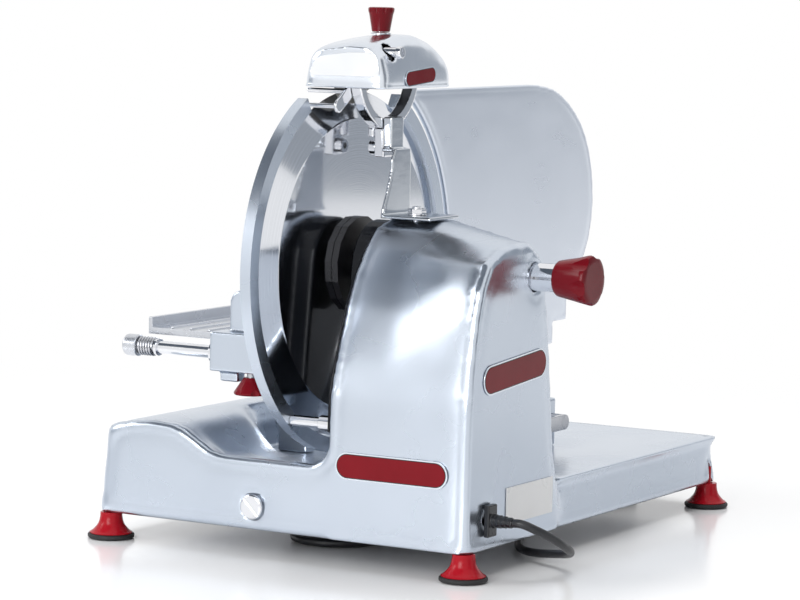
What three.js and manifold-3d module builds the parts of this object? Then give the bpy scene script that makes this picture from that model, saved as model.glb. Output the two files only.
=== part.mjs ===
// Vertical meat slicer: a cast aluminium body with an enclosed motor, a vertical blade in a guard ring,
// a sharpener over the blade, a gauge plate and a sliding carriage.
// Millimetres, +Z up, table at z = 0, +X from the blade towards the motor housing, +Y towards the user.
// The model is laid out round the blade's axis and then centred over its own footprint.
import * as THREE from 'three';
import { mergeVertices } from 'three/addons/utils/BufferGeometryUtils.js';
import Module from 'manifold-3d';

const wasm = await Module();
wasm.setup();

// Shared clearances and allowances
const clearance = 0.3;
const overrun = 6;
const cornerMerge = 1e-3;
const fineSteps = 36;
const roundSteps = 15;
const smallSteps = 10;
const footSteps = 12;
const cornerSteps = 3;
const lobeSteps = 24;

// Body casting: base with a raised rail on the left, a low platform and the motor tower
const base = {
  left: -190.5, right: 180, front: -112, back: 388, bottom: 23, wall: 5, cornerRadius: 12, edgeRound: 4,
  railTop: 108.5, crestX: -133, slopeWidth: 77, slopeBack: 20, lipTop: 85, floorTop: 67, platformRound: 6,
  filletWidth: 14, filletRise: 15, bossRadius: 11, bossHeight: 24, bendShare: 0.66, bendRiseShare: 0.34,
};
const tower = { left: 45, right: 180.4, front: -112.4, back: 57, top: 288, rim: 7, leftRim: 1.5,
  outlineSteps: 24 };
const basePlate = { thickness: 2.5, margin: 3 };

// Feet: bell-shaped, each with a rubber pad
const foot = {
  left: -179, right: 173, front: -103, back: 374, padRadius: 20.5, padHeight: 4.5,
  neckRadius: 9.5, rimRadius: 18.5, rimHeight: 2, studRadius: 4, studLength: 16,
};

// Blade, its guard ring and its drive
const axisZ = 245;
const blade = {
  radius: 150, edgeX: -4.9, edgeLand: 0.4, bevelWidth: 23, backX: 3.5, rimWidth: 30, recessX: -1,
  boreRadius: 20, pinCircle: 32, pinRadius: 3, pins: 4,
};
const ring = {
  bladeGap: 2, depth: 13, thickness: 10, halfGapShare: 0.158, lugRadius: 13, footWidth: 36,
};
const post = {
  y: -95, z: 118, radius: 4.8, sleeveRadius: 6.8, sleeveLength: 16, backY: 34, backZ: 85,
};
const [ringInner, ringOuter] = [blade.radius + ring.bladeGap, blade.radius + ring.bladeGap + ring.depth];
const recessRadius = blade.radius - blade.rimWidth;
const bladeCover = { gap: 3, thickness: 3.4, seatX: -1.8, hubRadius: 16, hubDepth: 5 };
const spindle = {
  flangeRadius: 42, flangeThickness: 6, registerDepth: 2.4, registerWall: 2.2, neckRadius: 13, radius: 11,
  bore: 7.4, end: 124,
};
const carrier = { flangeRadius: 29, flangeThickness: 7, radius: 24, length: 60 };
const beltCover = {
  thickness: 3, inset: 4, bottom: 112, front: 22, wall: 2.5, roomRound: 4.5, holeClearance: 2, step: 1.2,
};
const tieRod = { radius: 6.4, start: -0.5, sleeveRadius: 12, sleeveEnd: 206, sleeveStart: 170 };
const tieKnob = {
  start: 201.5, length: 33.5, tipRadius: 15.5, rimRadius: 21.5, lobes: 6, lobeDepth: 2.4, socket: 22,
  endRound: 3,
};
const motor = {
  y: -34, z: 140, radius: 46, length: 74, capRadius: 36, capLength: 10, shaftRadius: 7, flange: 50,
  flangeThickness: 5,
};
const pulley = { start: 26, width: 16, bladeRadius: 34, motorRadius: 12, lip: 1.6, lipWidth: 1 };
const belt = { thickness: 2.4 };

// Sharpener: sheet-metal leg on the tower, guide block, yoke and a head with two stones
const leg = {
  x: 46, thickness: 3, seatRight: 95, seatFront: -33, seatBack: 18, waistFront: -18, waistBack: 14,
    topFront: -13,
  topBack: 13, waistZ: 338, top: 347, boltX: 69, boltY: -10, boltRadius: 8.3, boltHeight: 7, studRadius: 4,
  studLength: 18,
};
const block = { left: 34.3, right: 43, halfWidth: 10.5, top: 374, slotDepth: 5 };
const yoke = {
  left: 24, right: 34, centreZ: 414, outer: 51, inner: 42, tipZ: 406, eyeRadius: 6.5, eyeHole: 3.3,
  stemHalfWidth: 8, stemBottom: 339, boltZ: 347, boltHole: 3.2, boltHead: 6.8, boltHeight: 7, hexSides: 6,
  lift: 12, postX: 18, postRadius: 4.5, postBottom: 356, postTop: 371, lugHeight: 6,
};
const head = {
  left: -20, right: 62, front: -58, back: 62, bottom: 399, height: 46, wall: 3, cornerRadius: 10,
  plateRise: 17, plateThickness: 4, windowSide: 8, windowEnd: 6, windowRise: 10, windowHeight: 21,
    windowDepth: 1.6,
};
const stone = {
  grindRadius: 20, grindWidth: 9, grindX: 3.2, grindY: -24, honeRadius: 13.5, honeWidth: 6, honeX: -12.5,
  honeY: 24, z: 405, pinRadius: 3.5, earWidth: 5, earRadius: 8, pinHead: 5.5, pinHeadWidth: 2,
  room: 2,
};
const headKnob = {
  x: 24, y: 0, stemRadius: 4, collarRadius: 9, collarHeight: 2, footRadius: 8, rimRadius: 11.5, height: 21,
  lobes: 12, lobeDepth: 0.7, endRound: 1.2,
};
const button = { y: -38, rise: 31, bushRadius: 7.2, radius: 4.4, travel: 4, headRadius: 5.4,
  headLength: 5 };
const stay = {
  rodRadius: 2.2, left: -19, frontY: -66, frontZ: 384, backY: -48, backZ: 396, linkThickness: 2.5,
    linkRadius: 6,
};

// Gauge plate and its slide
const gauge = {
  face: -5, thickness: 7, top: 394, right: 462, lowerRight: 410, stepRight: 382, stepTop: 163, bottom: 141,
  left: 150, ringClearance: 5, edgeSteps: 18,
};
const gaugeSlide = {
  y: 178, spacing: 34, z: 92, barRadius: 7, barEnd: 104, endPlate: 5, guideLeft: 46, guideRight: 84,
    guideWall: 12,
  webThickness: 16, webBottom: 80, webTop: 150,
};
const thicknessKnob = {
  x: -24, z: 46, radius: 18, depth: 24, dialRadius: 21, dialWidth: 4, shaftRadius: 6, shaftEnd: 190,
    lobes: 8,
  lobeDepth: 1.6, endRound: 2,
};

// Carriage: rail, slider with arm, table, end block with feed rod, tilt lock knob
const rail = { x: -84, z: 98, radius: 11, footWidth: 30, footLength: 16 };
const slider = { front: 64, length: 92, radius: 20, webWidth: 26, travel: 200, frontGap: 6, backGap: 4 };
const table = {
  left: -173, right: -14, front: -58, back: 226, top: 182, thickness: 6, rimHeight: 9, rimWidth: 4, ribs: 7,
  ribRise: 1.6, ribWidth: 3, ribMargin: 22,
};
const endBlock = {
  left: -92, right: -30, front: -84, top: 186, bottom: 152, lugLeft: -80, lugTop: 222, lugRight: -38,
    lugRound: 11,
  toeLeft: -85, toeRight: -67, toeBottom: 143, toeInsetShare: 0.25,
};
const feedRod = {
  y: -72, z: 167, radius: 5.6, end: -172, seatDepth: 30, flangeRadius: 10.4, flangeWidth: 2.6,
    ringRadius: 7.6,
  ringWidth: 3, capRadius: 9.6, capLength: 14, capSocket: 8, springRadius: 8.5, wire: 1.2, curls: 5,
    springLength: 15,
  sides: 5, curlSteps: 8, nextCurlShare: 0.75,
};
const lockKnob = {
  x: -56, y: -72, height: 15, topRadius: 7, rimRadius: 15.5, stemRadius: 4, stemHeight: 4, socket: 10,
  lobes: 6, lobeDepth: 1.3, endRound: 1.4,
};

// Plates, plugs and switches
const badge = {
  frontX: 108, frontZ: 87, frontLength: 107, frontHeight: 23, sideY: -35, sideZ: 168, sideLength: 111,
  sideHeight: 25, sideTilt: Math.PI * 0.0244, headY: 2.4, headZ: 409, headLength: 52, headHeight: 13.8,
  headTilt: Math.PI * 0.0256, thickness: 1.2,
};
const ratingPlate = { front: -46, back: 38, bottom: 40, top: 71, thickness: 0.8 };
const slotPlug = {
  x: -28.2, z: 43, radius: 11, thickness: 2.4, slotWidth: 2, slotDepth: 1.2, stemRadius: 9, stemLength: 14,
};
const switches = {
  x: 118, z: 45, width: 62, height: 30, thickness: 3, buttonRadius: 9, buttonProud: 5, spacing: 28,
  stemRadius: 5, stemLength: 16, travel: 2.5,
};

// Mains cord: strain relief, free lead, tied hank under the base, free tail and plug
const inlet = {
  y: -77, z: 48, plateHeight: 27, plateWidth: 15, plateDepth: 5, length: 24, rootRadius: 6.4,
    tipRadius: 4.5,
  neckRadius: 5.6, neckLength: 12,
};
const cord = { radius: 3.6, sides: 8, lift: 0.15, stepShare: 2.4 };
const hank = {
  x: -12, front: 2, run: 116, bend: 22, layerLoops: 2, lastShare: 0.5, pitch: 9.8, waistShare: 0.2,
    steps: 24,
  sides: 6, climbShare: 0.25, nextLoopShare: 0.6,
};
const plug = {
  y: 470, x: 30, bodyLength: 42, bodyWidth: 34, bodyHeight: 30, round: 7, neckLength: 16, neckRadius: 6,
  pinRadius: 2.4, pinLength: 19, pinSpacing: 19,
};

const paint = (color, roughness, metalness) => new THREE.MeshStandardMaterial({ color, roughness,
  metalness });
const castAluminium = paint(0xc4c8d2, 0.4, 0.9);
const sheetAluminium = paint(0xb9bfcd, 0.45, 0.9);
const chrome = paint(0xe2e4e8, 0.08, 1);
const mirrorSteel = paint(0xdfe3ea, 0.04, 1);
const steel = paint(0xa8acb2, 0.35, 1);
const redPlastic = paint(0x9c0f16, 0.25, 0);
const blackPlastic = paint(0x15171b, 0.2, 0);
const rubber = paint(0x1b1c1f, 0.8, 0);
const stoneGrey = paint(0x6d6f73, 0.9, 0);
const whiteLabel = paint(0xe6e9ef, 0.4, 0.1);
const greenPlastic = paint(0x1f8a45, 0.35, 0);
const darkSteel = paint(0x4a4d52, 0.5, 0.8);

// Solid and geometry helpers
const asSolid = (geometry) => {
  const bare = geometry.clone();
  bare.deleteAttribute('normal');
  bare.deleteAttribute('uv');
  const merged = mergeVertices(bare, 1e-4);
  const index = merged.index.array;
  const kept = [];
  for (let i = 0; i < index.length; i += 3) {
    const [a, b, c] = [index[i], index[i + 1], index[i + 2]];
    if (a !== b && b !== c && c !== a) kept.push(a, b, c);
  }
  return new wasm.Manifold(new wasm.Mesh({
    numProp: 3,
    vertProperties: new Float32Array(merged.attributes.position.array),
    triVerts: new Uint32Array(kept),
  }));
};
const asGeometry = (solid) => {
  const mesh = solid.getMesh();
  const geometry = new THREE.BufferGeometry();
  geometry.setAttribute('position', new THREE.BufferAttribute(new Float32Array(mesh.vertProperties),
    mesh.numProp));
  geometry.setIndex(new THREE.BufferAttribute(new Uint32Array(mesh.triVerts), 1));
  geometry.computeVertexNormals();
  return geometry;
};
const join = (...parts) => parts.map(asSolid).reduce((a, b) => a.add(b));
const cut = (solid, ...tools) => tools.reduce((a, tool) => a.subtract(asSolid(tool)), solid);

const model = new THREE.Group();
const place = (name, geometry, material, group = model) => {
  const mesh = new THREE.Mesh(geometry, material);
  mesh.name = name;
  group.add(mesh);
  return mesh;
};

const box = (x0, x1, y0, y1, z0, z1) => new THREE.BoxGeometry(x1 - x0, y1 - y0, z1 - z0)
  .translate((x0 + x1) / 2, (y0 + y1) / 2, (z0 + z1) / 2);

// A lathe turned about the X, Y or Z axis from a list of [distance along the axis, radius]
const latheBy = (profile, steps) => new THREE.LatheGeometry(profile.map(([d, r]) => new THREE.Vector2(r,
  d)), steps);
const alongX = (geometry) => geometry.applyMatrix4(new THREE.Matrix4().makeBasis(
  new THREE.Vector3(0, 1, 0), new THREE.Vector3(1, 0, 0), new THREE.Vector3(0, 0, -1)));
const alongZ = (geometry) => geometry.applyMatrix4(new THREE.Matrix4().makeBasis(
  new THREE.Vector3(1, 0, 0), new THREE.Vector3(0, 0, 1), new THREE.Vector3(0, -1, 0)));
const turnX = (profile, y, z, steps = roundSteps) => alongX(latheBy(profile, steps)).translate(0, y, z);
const turnY = (profile, x, z, steps = roundSteps) => latheBy(profile, steps).translate(x, 0, z);
const turnZ = (profile, x, y, steps = roundSteps) => alongZ(latheBy(profile, steps)).translate(x, y, 0);
const rodProfile = (start, end, radius) => [[start, 0], [start, radius], [end, radius], [end, 0]];
const rodX = (x0, x1, radius, y, z, steps = smallSteps) => turnX(rodProfile(x0, x1, radius), y, z, steps);
const rodY = (y0, y1, radius, x, z, steps = smallSteps) => turnY(rodProfile(y0, y1, radius), x, z, steps);
const rodZ = (z0, z1, radius, x, y, steps = smallSteps) => turnZ(rodProfile(z0, z1, radius), x, y, steps);
// A faceted bore that a shaft of this radius turns in, its flats clear of the shaft's corners
const turningBore = (radius, steps = smallSteps) => (radius + clearance) / Math.cos(Math.PI / steps);

// A flat shape given in (Y, Z), (X, Z) or (X, Y) and given a thickness along the third axis
const slab = (shape, depth, curveSegments = cornerSteps) => new THREE.ExtrudeGeometry(
  shape, { depth, bevelEnabled: false, curveSegments, steps: 1 });
const slabX = (shape, x0, x1, segments) => slab(shape, x1 - x0,
  segments).applyMatrix4(new THREE.Matrix4().makeBasis(
  new THREE.Vector3(0, 1, 0), new THREE.Vector3(0, 0, 1), new THREE.Vector3(1, 0, 0))).translate(x0, 0, 0);
const slabY = (shape, y0, y1, segments) => slab(shape, y1 - y0,
  segments).applyMatrix4(new THREE.Matrix4().makeBasis(
  new THREE.Vector3(1, 0, 0), new THREE.Vector3(0, 0, 1), new THREE.Vector3(0, -1, 0))).translate(0, y1, 0);
const slabZ = (shape, z0, z1, segments) => slab(shape, z1 - z0, segments).translate(0, 0, z0);
const outline = (points) => new THREE.Shape(points.map(([u, v]) => new THREE.Vector2(u, v)));
const roundedRectangle = (u0, u1, v0, v1, radius) => {
  const shape = new THREE.Shape();
  shape.moveTo(u0 + radius, v0);
  shape.lineTo(u1 - radius, v0);
  shape.absarc(u1 - radius, v0 + radius, radius, -Math.PI / 2, 0);
  shape.lineTo(u1, v1 - radius);
  shape.absarc(u1 - radius, v1 - radius, radius, 0, Math.PI / 2);
  shape.lineTo(u0 + radius, v1);
  shape.absarc(u0 + radius, v1 - radius, radius, Math.PI / 2, Math.PI);
  shape.lineTo(u0, v0 + radius);
  shape.absarc(u0 + radius, v0 + radius, radius, Math.PI, Math.PI * 1.5);
  return shape;
};

// Triangles over a flat ring of points, facing the way the ring turns
const flatAxes = [[1, 2], [2, 0], [0, 1]];
const coverRing = (ring) => {
  const next = (i) => ring[(i + 1) % ring.length];
  const kept = [...ring.keys()].filter((i) => Math.hypot(...ring[i].map((c,
    k) => c - next(i)[k])) > cornerMerge);
  const normal = [0, 1, 2].map((k) => {
    const [u, v] = flatAxes[k];
    return ring.reduce((sum, p, i) => sum + p[u] * next(i)[v] - p[v] * next(i)[u], 0);
  });
  const axis = normal.map(Math.abs).indexOf(Math.max(...normal.map(Math.abs)));
  const forward = normal[axis] > 0;
  const order = forward ? kept : [...kept].reverse();
  const [u, v] = flatAxes[axis];
  const contour = order.map((i, k) => new THREE.Vector2(
    ring[i][u] + cornerMerge * Math.sin(k ** 2), ring[i][v] + cornerMerge * Math.cos(k ** 2)));
  const faces = THREE.ShapeUtils.triangulateShape(contour, []).map((face) => face.map((k) => order[k]));
  return forward ? faces : faces.map((face) => face.reverse());
};

// A solid skinned over rings of points and covered at both ends
const skin = (rings) => {
  const count = rings[0].length;
  const index = [];
  for (let s = 0; s + 1 < rings.length; s += 1) {
    for (let i = 0; i < count; i += 1) {
      const a = s * count + i;
      const b = s * count + ((i + 1) % count);
      index.push(a, b, a + count, b, b + count, a + count);
    }
  }
  const last = (rings.length - 1) * count;
  for (const face of coverRing(rings[0])) index.push(...face.reverse());
  for (const face of coverRing(rings.at(-1))) index.push(...face.map((i) => last + i));
  const geometry = new THREE.BufferGeometry();
  geometry.setAttribute('position', new THREE.Float32BufferAttribute(rings.flat(2), 3));
  geometry.setIndex(index);
  geometry.computeVertexNormals();
  return geometry;
};

// Moves each point of a closed outline inwards by a distance, along the mean of its two edge normals
const inset = (points, distance) => points.map((point, i) => {
  const before = points[(i + points.length - 1) % points.length];
  const after = points[(i + 1) % points.length];
  const first = new THREE.Vector2(point[0] - before[0], point[1] - before[1]).normalize();
  const second = new THREE.Vector2(after[0] - point[0], after[1] - point[1]).normalize();
  const along = first.clone().add(second).normalize();
  const reach = distance / Math.max(along.dot(first), Math.SQRT1_2);
  return [point[0] - along.y * reach, point[1] + along.x * reach];
});
const smoothOutline = (points, steps) => new THREE.CatmullRomCurve3(
  points.map(([u, v]) => new THREE.Vector3(u, v, 0)), false,
    'centripetal').getSpacedPoints(steps).map((p) => [p.x, p.y]);
const mix = (a, b, share) => a + (b - a) * share;

const lookup = (shares, at) => {
  const next = shares.findIndex(([place]) => place >= at);
  if (next === 0) return shares[0][1];
  if (next < 0) return shares.at(-1)[1];
  const [[a, u], [b, v]] = [shares[next - 1], shares[next]];
  return mix(u, v, (at - a) / (b - a));
};
const roundOff = (radius, depth) => {
  const rest = Math.min(Math.max(radius - depth, 0), radius);
  return radius - Math.sqrt(radius ** 2 - rest ** 2);
};
const roundingShares = [0, 0.14, 0.5, 1];
const innerRoundingShares = [0, 0.5, 1];
const lobedCircle = (radius, lobes, depth) => Array.from({ length: lobeSteps }, (_, i) => {
  const angle = (2 * Math.PI * i) / lobeSteps;
  const reach = radius - depth * Math.sin((lobes * angle) / 2) ** 2;
  return [reach * Math.cos(angle), reach * Math.sin(angle)];
});

// A tapered, lobed grip as stations of [distance, radius], with its rim rounded over at the far end
const gripStations = (grip, start, direction) => {
  const stations = [[0, grip.tipRadius - grip.endRound], [grip.endRound, grip.tipRadius]];
  for (const share of [...roundingShares].reverse()) {
    const depth = grip.endRound * share;
    stations.push([grip.length - depth, grip.rimRadius - roundOff(grip.endRound, depth)]);
  }
  return stations.map(([distance, radius]) => [start + direction * distance, radius]);
};

// Body casting
const floorShares = [[0, 1], [0.02, 1], [0.05, 0.42], [0.22, 0.2], [0.3, 0]];
const slopeShares = [[0, 1], [0.22, 1], [0.3, 0]];
const filletShares = [[0, 1], [0.22, 1], [0.27, 0]];
const railShares = [[0.137, 0.82], [0.16, 0.88], [0.235, 0.915], [0.39, 0.945], [0.667, 0.98], [1, 1]];
const innerSlopeShares = [[0.27, 0.94], [0.41, 0.8], [0.55, 0.55], [0.68, 0.3], [0.81, 0.08], [1, 0]];
const stationShares = [0.05, 0.12, 0.22, 0.25, 0.27, 0.3];
const footPlaces = [
  ['front_left', foot.left, foot.front], ['front_right', foot.right, foot.front],
  ['back_left', foot.left, foot.back], ['back_right', foot.right, foot.back],
];

const baseSection = (y, wall, low) => {
  const at = (y - base.front) / (base.back - base.front);
  const depth = Math.min(y - base.front, base.back - y) - wall;
  const side = roundOff(base.cornerRadius - wall, depth) + wall;
  const drop = roundOff(base.edgeRound, depth) + wall;
  const left = base.left + side;
  const right = base.right - side;
  const crest = base.crestX - wall;
  const floor = mix(base.floorTop, base.lipTop, lookup(floorShares, at)) - drop;
  const top = base.railTop - drop;
  const slope = mix(base.slopeBack, base.slopeWidth, lookup(slopeShares, at));
  const rise = wall > 0 ? 0 : base.filletRise * lookup(filletShares, at);
  const fillet = tower.left - base.filletWidth;
  const edge = base.platformRound;
  return [
    [left, low],
    ...railShares.map(([u, v]) => [mix(left, crest, u), mix(base.bottom, top, v)]),
    ...innerSlopeShares.map(([u, v]) => [crest + slope * u, mix(floor, top, v)]),
    [fillet, floor],
    [mix(fillet, tower.left, base.bendShare), floor + rise * base.bendRiseShare],
    [tower.left, floor + rise],
    [tower.left + base.filletWidth, floor + rise],
    [tower.left + base.filletWidth * 2, floor],
    ...[...roundingShares].reverse().map((share) => [right - roundOff(edge, edge * share),
      floor - edge * (1 - share)]),
    [right, low],
  ].map(([x, z]) => [x, y, z]);
};
const baseLoft = (wall, low) => {
  const front = base.front + wall;
  const back = base.back - wall;
  const cornerShares = wall > 0 ? innerRoundingShares : roundingShares;
  const ends = cornerShares.map((share) => (base.cornerRadius - wall) * share);
  return skin([
    ...ends.map((depth) => baseSection(front + depth, wall, low)),
    ...stationShares.map((share) => baseSection(mix(base.front, base.back, share), wall, low)),
    ...ends.reverse().map((depth) => baseSection(back - depth, wall, low)),
  ]);
};

// The tower keeps its left outline as far as the sharpener's seat, then runs into its right outline.
// Both are given as [share of its depth, share of its height], from front to back
const leftOutlineShares = [
  [0, 0], [0, 0.15], [0.001, 0.3], [0.008, 0.42], [0.022, 0.51], [0.062, 0.583], [0.105, 0.66],
    [0.15, 0.738],
  [0.195, 0.8], [0.26, 0.866], [0.335, 0.922], [0.4, 0.962], [0.467, 0.989], [0.54, 1], [0.66, 1],
    [0.76, 0.998],
  [0.83, 0.975], [0.865, 0.915], [0.878, 0.82], [0.89, 0.668], [0.912, 0.48], [0.938, 0.33], [0.965, 0.21],
  [1, 0.165], [1, 0],
];
const rightOutlineShares = [
  [0, 0], [0.003, 0.181], [0.008, 0.336], [0.016, 0.49], [0.033, 0.611], [0.063, 0.736], [0.098, 0.811],
  [0.142, 0.872], [0.18, 0.9], [0.249, 0.924], [0.394, 0.94], [0.497, 0.947], [0.6, 0.947], [0.678, 0.936],
  [0.724, 0.913], [0.76, 0.872], [0.8, 0.792], [0.83, 0.694], [0.861, 0.562], [0.903, 0.366], [0.935, 0.25],
  [0.96, 0.19], [1, 0.165], [1, 0],
];
const towerOutline = (shares) => smoothOutline(shares.map(([u, v]) => [
  mix(tower.front, tower.back, u), mix(base.bottom - tower.rim, tower.top, v)]),
    tower.outlineSteps).reverse();
const leftOutline = towerOutline(leftOutlineShares);
const rightOutline = towerOutline(rightOutlineShares);
const towerSection = (x, margin) => {
  const share = Math.max(0, (x - leg.seatRight) / (tower.right - leg.seatRight));
  const outlineHere = leftOutline.map(([y, z], i) => [
    mix(y, rightOutline[i][0], share), mix(z, rightOutline[i][1], share)]);
  return inset(outlineHere, margin).map(([y, z]) => [x, y, z]);
};
const towerLoft = (wall) => {
  const left = tower.left + wall;
  const right = tower.right - wall;
  const rim = Math.max(tower.rim - wall, tower.leftRim);
  const shares = wall > 0 ? innerRoundingShares : roundingShares;
  return skin([
    ...shares.map((share) => towerSection(
      left + tower.leftRim * share, wall + roundOff(tower.leftRim, tower.leftRim * share))),
    towerSection(leg.seatRight, wall),
    towerSection((leg.seatRight + right) / 2, wall),
    ...[...shares].reverse().map((share) => towerSection(
      right - rim * share, wall + roundOff(rim, rim * share))),
  ]);
};

const motorShaftHole = motor.shaftRadius + beltCover.holeClearance;
const makeBody = () => {
  const low = base.bottom - overrun;
  const outer = join(baseLoft(0, low), towerLoft(0))
    .subtract(asSolid(box(base.left - overrun, base.right + overrun, base.front - overrun,
      base.back + overrun,
      low - tower.rim - overrun, base.bottom)));
  const hollow = join(baseLoft(base.wall, low), towerLoft(base.wall));
  const seat = base.bottom + basePlate.thickness + clearance;
  const bosses = join(...footPlaces.map(([, x, y]) => rodZ(seat, seat + base.bossHeight, base.bossRadius, x,
    y)));
  const shell = outer.subtract(hollow).add(bosses.intersect(outer));
  const wallLeft = tower.left - overrun;
  const innerLeft = tower.left + base.wall + overrun;
  const wallRight = tower.right + overrun;
  const innerRight = tower.right - base.wall - overrun;
  const switchPlaces = [switches.x - switches.spacing / 2, switches.x + switches.spacing / 2];
  return cut(
    shell,
    ...footPlaces.map(([, x, y]) => rodZ(low, base.bottom + foot.studLength + overrun,
      foot.studRadius + clearance, x, y)),
    rodX(wallLeft, innerLeft, spindle.neckRadius + beltCover.holeClearance, 0, axisZ, roundSteps),
    rodX(wallLeft, innerLeft, motorShaftHole, motor.y, motor.z),
    rodX(innerRight, wallRight, tieRod.sleeveRadius + clearance, 0, axisZ, roundSteps),
    rodX(innerRight, wallRight, inlet.neckRadius + clearance, inlet.y, inlet.z),
    rodY(base.front - overrun, base.front + base.wall + overrun, slotPlug.stemRadius + clearance,
      slotPlug.x,
      slotPlug.z, roundSteps),
    rodY(base.back - base.wall - overrun, base.back + overrun, turningBore(thicknessKnob.shaftRadius),
      thicknessKnob.x, thicknessKnob.z),
    ...switchPlaces.map((x) => rodY(base.back - base.wall - overrun, base.back + overrun,
      switches.stemRadius + clearance, x, switches.z)),
    rodZ(tower.top - base.wall * 2 - overrun, tower.top + overrun, leg.studRadius + clearance, leg.boltX,
      leg.boltY),
  );
};
place('body_casting', asGeometry(makeBody()), castAluminium);

const makeBasePlate = () => {
  const edge = base.wall + basePlate.margin;
  const outlineShape = roundedRectangle(
    base.left + edge, base.right - edge, base.front + edge, base.back - edge,
      base.cornerRadius - base.wall);
  const sheet = asSolid(slabZ(outlineShape, base.bottom, base.bottom + basePlate.thickness));
  return cut(sheet, ...footPlaces.map(([, x, y]) => rodZ(
    base.bottom - overrun, base.bottom + overrun, foot.studRadius + clearance, x, y)));
};
place('base_plate', asGeometry(makeBasePlate()), sheetAluminium);

// Feet: a bell that flares towards the table, with its stud above and its rubber pad below
const bellShares = [[0, 1], [0.33, 0.41], [0.67, 0.09], [1, 0]];
const makeFoot = (x, y) => {
  const top = base.bottom - clearance;
  const edge = foot.rimHeight / 2;
  return turnZ([
    [0, 0], [0, foot.padRadius - edge], [edge, foot.padRadius], [foot.padHeight, foot.padRadius],
    [foot.padHeight, foot.rimRadius],
    ...bellShares.map(([up, flare]) => [
      mix(foot.padHeight + foot.rimHeight, top, up), mix(foot.neckRadius, foot.rimRadius, flare)]),
    [top, foot.studRadius], [top + foot.studLength, foot.studRadius], [top + foot.studLength, 0],
  ], x, y, footSteps);
};
for (const [name, x, y] of footPlaces) place(`foot_${name}`, makeFoot(x, y), redPlastic);

// Blade: dished on the table side, with a wide ground bevel towards the motor side
const pinPlaces = Array.from({ length: blade.pins }, (_, i) => {
  const angle = (2 * Math.PI * (i + 1 / 2)) / blade.pins;
  return [blade.pinCircle * Math.cos(angle), axisZ + blade.pinCircle * Math.sin(angle)];
});
const makeBlade = () => {
  const edgeBack = blade.edgeX + blade.edgeLand;
  const disc = asSolid(turnX([
    [blade.recessX, blade.boreRadius], [blade.recessX, recessRadius],
    [blade.edgeX, blade.radius - blade.rimWidth + clearance * 2], [blade.edgeX, blade.radius],
    [edgeBack, blade.radius], [blade.backX, blade.radius - blade.bevelWidth],
      [blade.backX, blade.boreRadius],
    [blade.recessX, blade.boreRadius],
  ], 0, axisZ, fineSteps));
  return cut(disc, ...pinPlaces.map(([y, z]) => rodX(
    blade.edgeX - overrun, blade.backX + overrun, blade.pinRadius + clearance, y, z)));
};
place('blade', asGeometry(makeBlade()), mirrorSteel);
const coverRadius = recessRadius - bladeCover.gap;
const makeBladeCover = () => cut(
  asSolid(turnX([
    [bladeCover.seatX - bladeCover.thickness, 0], [bladeCover.seatX - bladeCover.thickness, coverRadius],
    [bladeCover.seatX, coverRadius], [bladeCover.seatX, bladeCover.hubRadius],
    [bladeCover.seatX + bladeCover.hubDepth, bladeCover.hubRadius],
      [bladeCover.seatX + bladeCover.hubDepth, 0],
  ], 0, axisZ, fineSteps)),
  rodX(tieRod.start - clearance, blade.backX + overrun, turningBore(tieRod.radius), 0, axisZ),
);
place('blade_cover', asGeometry(makeBladeCover()), sheetAluminium);

// Guard ring, cut away under the sharpener, with a lug for its back post and a foot on the base
const ringFootZ = mix(base.floorTop, base.lipTop, lookup(floorShares,
  (-ring.footWidth / 2 - base.front) / (base.back - base.front))) + clearance;
const makeRing = () => {
  const gap = Math.PI * ring.halfGapShare;
  const arc = new THREE.Shape();
  arc.absarc(0, axisZ, ringOuter, Math.PI / 2 + gap, Math.PI * 2.5 - gap, false);
  arc.absarc(0, axisZ, ringInner, Math.PI * 2.5 - gap, Math.PI / 2 + gap, true);
  const flat = slabX(arc, -ring.thickness, 0, fineSteps);
  const backLug = cut(
    asSolid(rodX(-ring.thickness, 0, ring.lugRadius, post.backY, post.backZ)),
    rodX(-ring.thickness - overrun, overrun, ringInner, 0, axisZ, fineSteps));
  const footBox = box(-ring.thickness, 0, -ring.footWidth / 2, ring.footWidth / 2, base.floorTop,
    axisZ - ringOuter + overrun);
  const under = asSolid(footBox).subtract(asSolid(box(
    -ring.thickness - overrun, overrun, -ring.footWidth, ring.footWidth, 0, ringFootZ)));
  return asSolid(flat).add(backLug).add(under);
};
place('guard_ring', asGeometry(makeRing()), castAluminium);
const makePost = (y, z) => turnX([
  [clearance, 0], [clearance, post.radius], [tower.left - clearance - post.sleeveLength, post.radius],
  [tower.left - clearance - post.sleeveLength, post.sleeveRadius],
    [tower.left - clearance, post.sleeveRadius],
  [tower.left - clearance, 0],
], y, z, smallSteps);
place('ring_post_front', makePost(post.y, post.z), chrome);
place('ring_post_back', makePost(post.backY, post.backZ), chrome);

// Hollow spindle with the blade's register, its seat and the pins that drive the blade
const spindleFlange = blade.backX + clearance;
const spindleNeck = spindleFlange + spindle.flangeThickness;
const carrierStart = tower.left + base.wall + clearance;
const neckEnd = carrierStart + carrier.flangeThickness;
const spindleProfile = [
  [spindleFlange - spindle.registerDepth, blade.boreRadius - clearance - spindle.registerWall],
  [spindleFlange - spindle.registerDepth, blade.boreRadius - clearance],
    [spindleFlange, blade.boreRadius - clearance],
  [spindleFlange, spindle.flangeRadius], [spindleNeck, spindle.flangeRadius],
    [spindleNeck, spindle.neckRadius],
  [neckEnd - clearance, spindle.neckRadius], [neckEnd - clearance, spindle.radius],
    [spindle.end, spindle.radius],
  [spindle.end, spindle.bore], [spindleFlange, spindle.bore],
  [spindleFlange, blade.boreRadius - clearance - spindle.registerWall],
  [spindleFlange - spindle.registerDepth, blade.boreRadius - clearance - spindle.registerWall],
];
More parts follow.
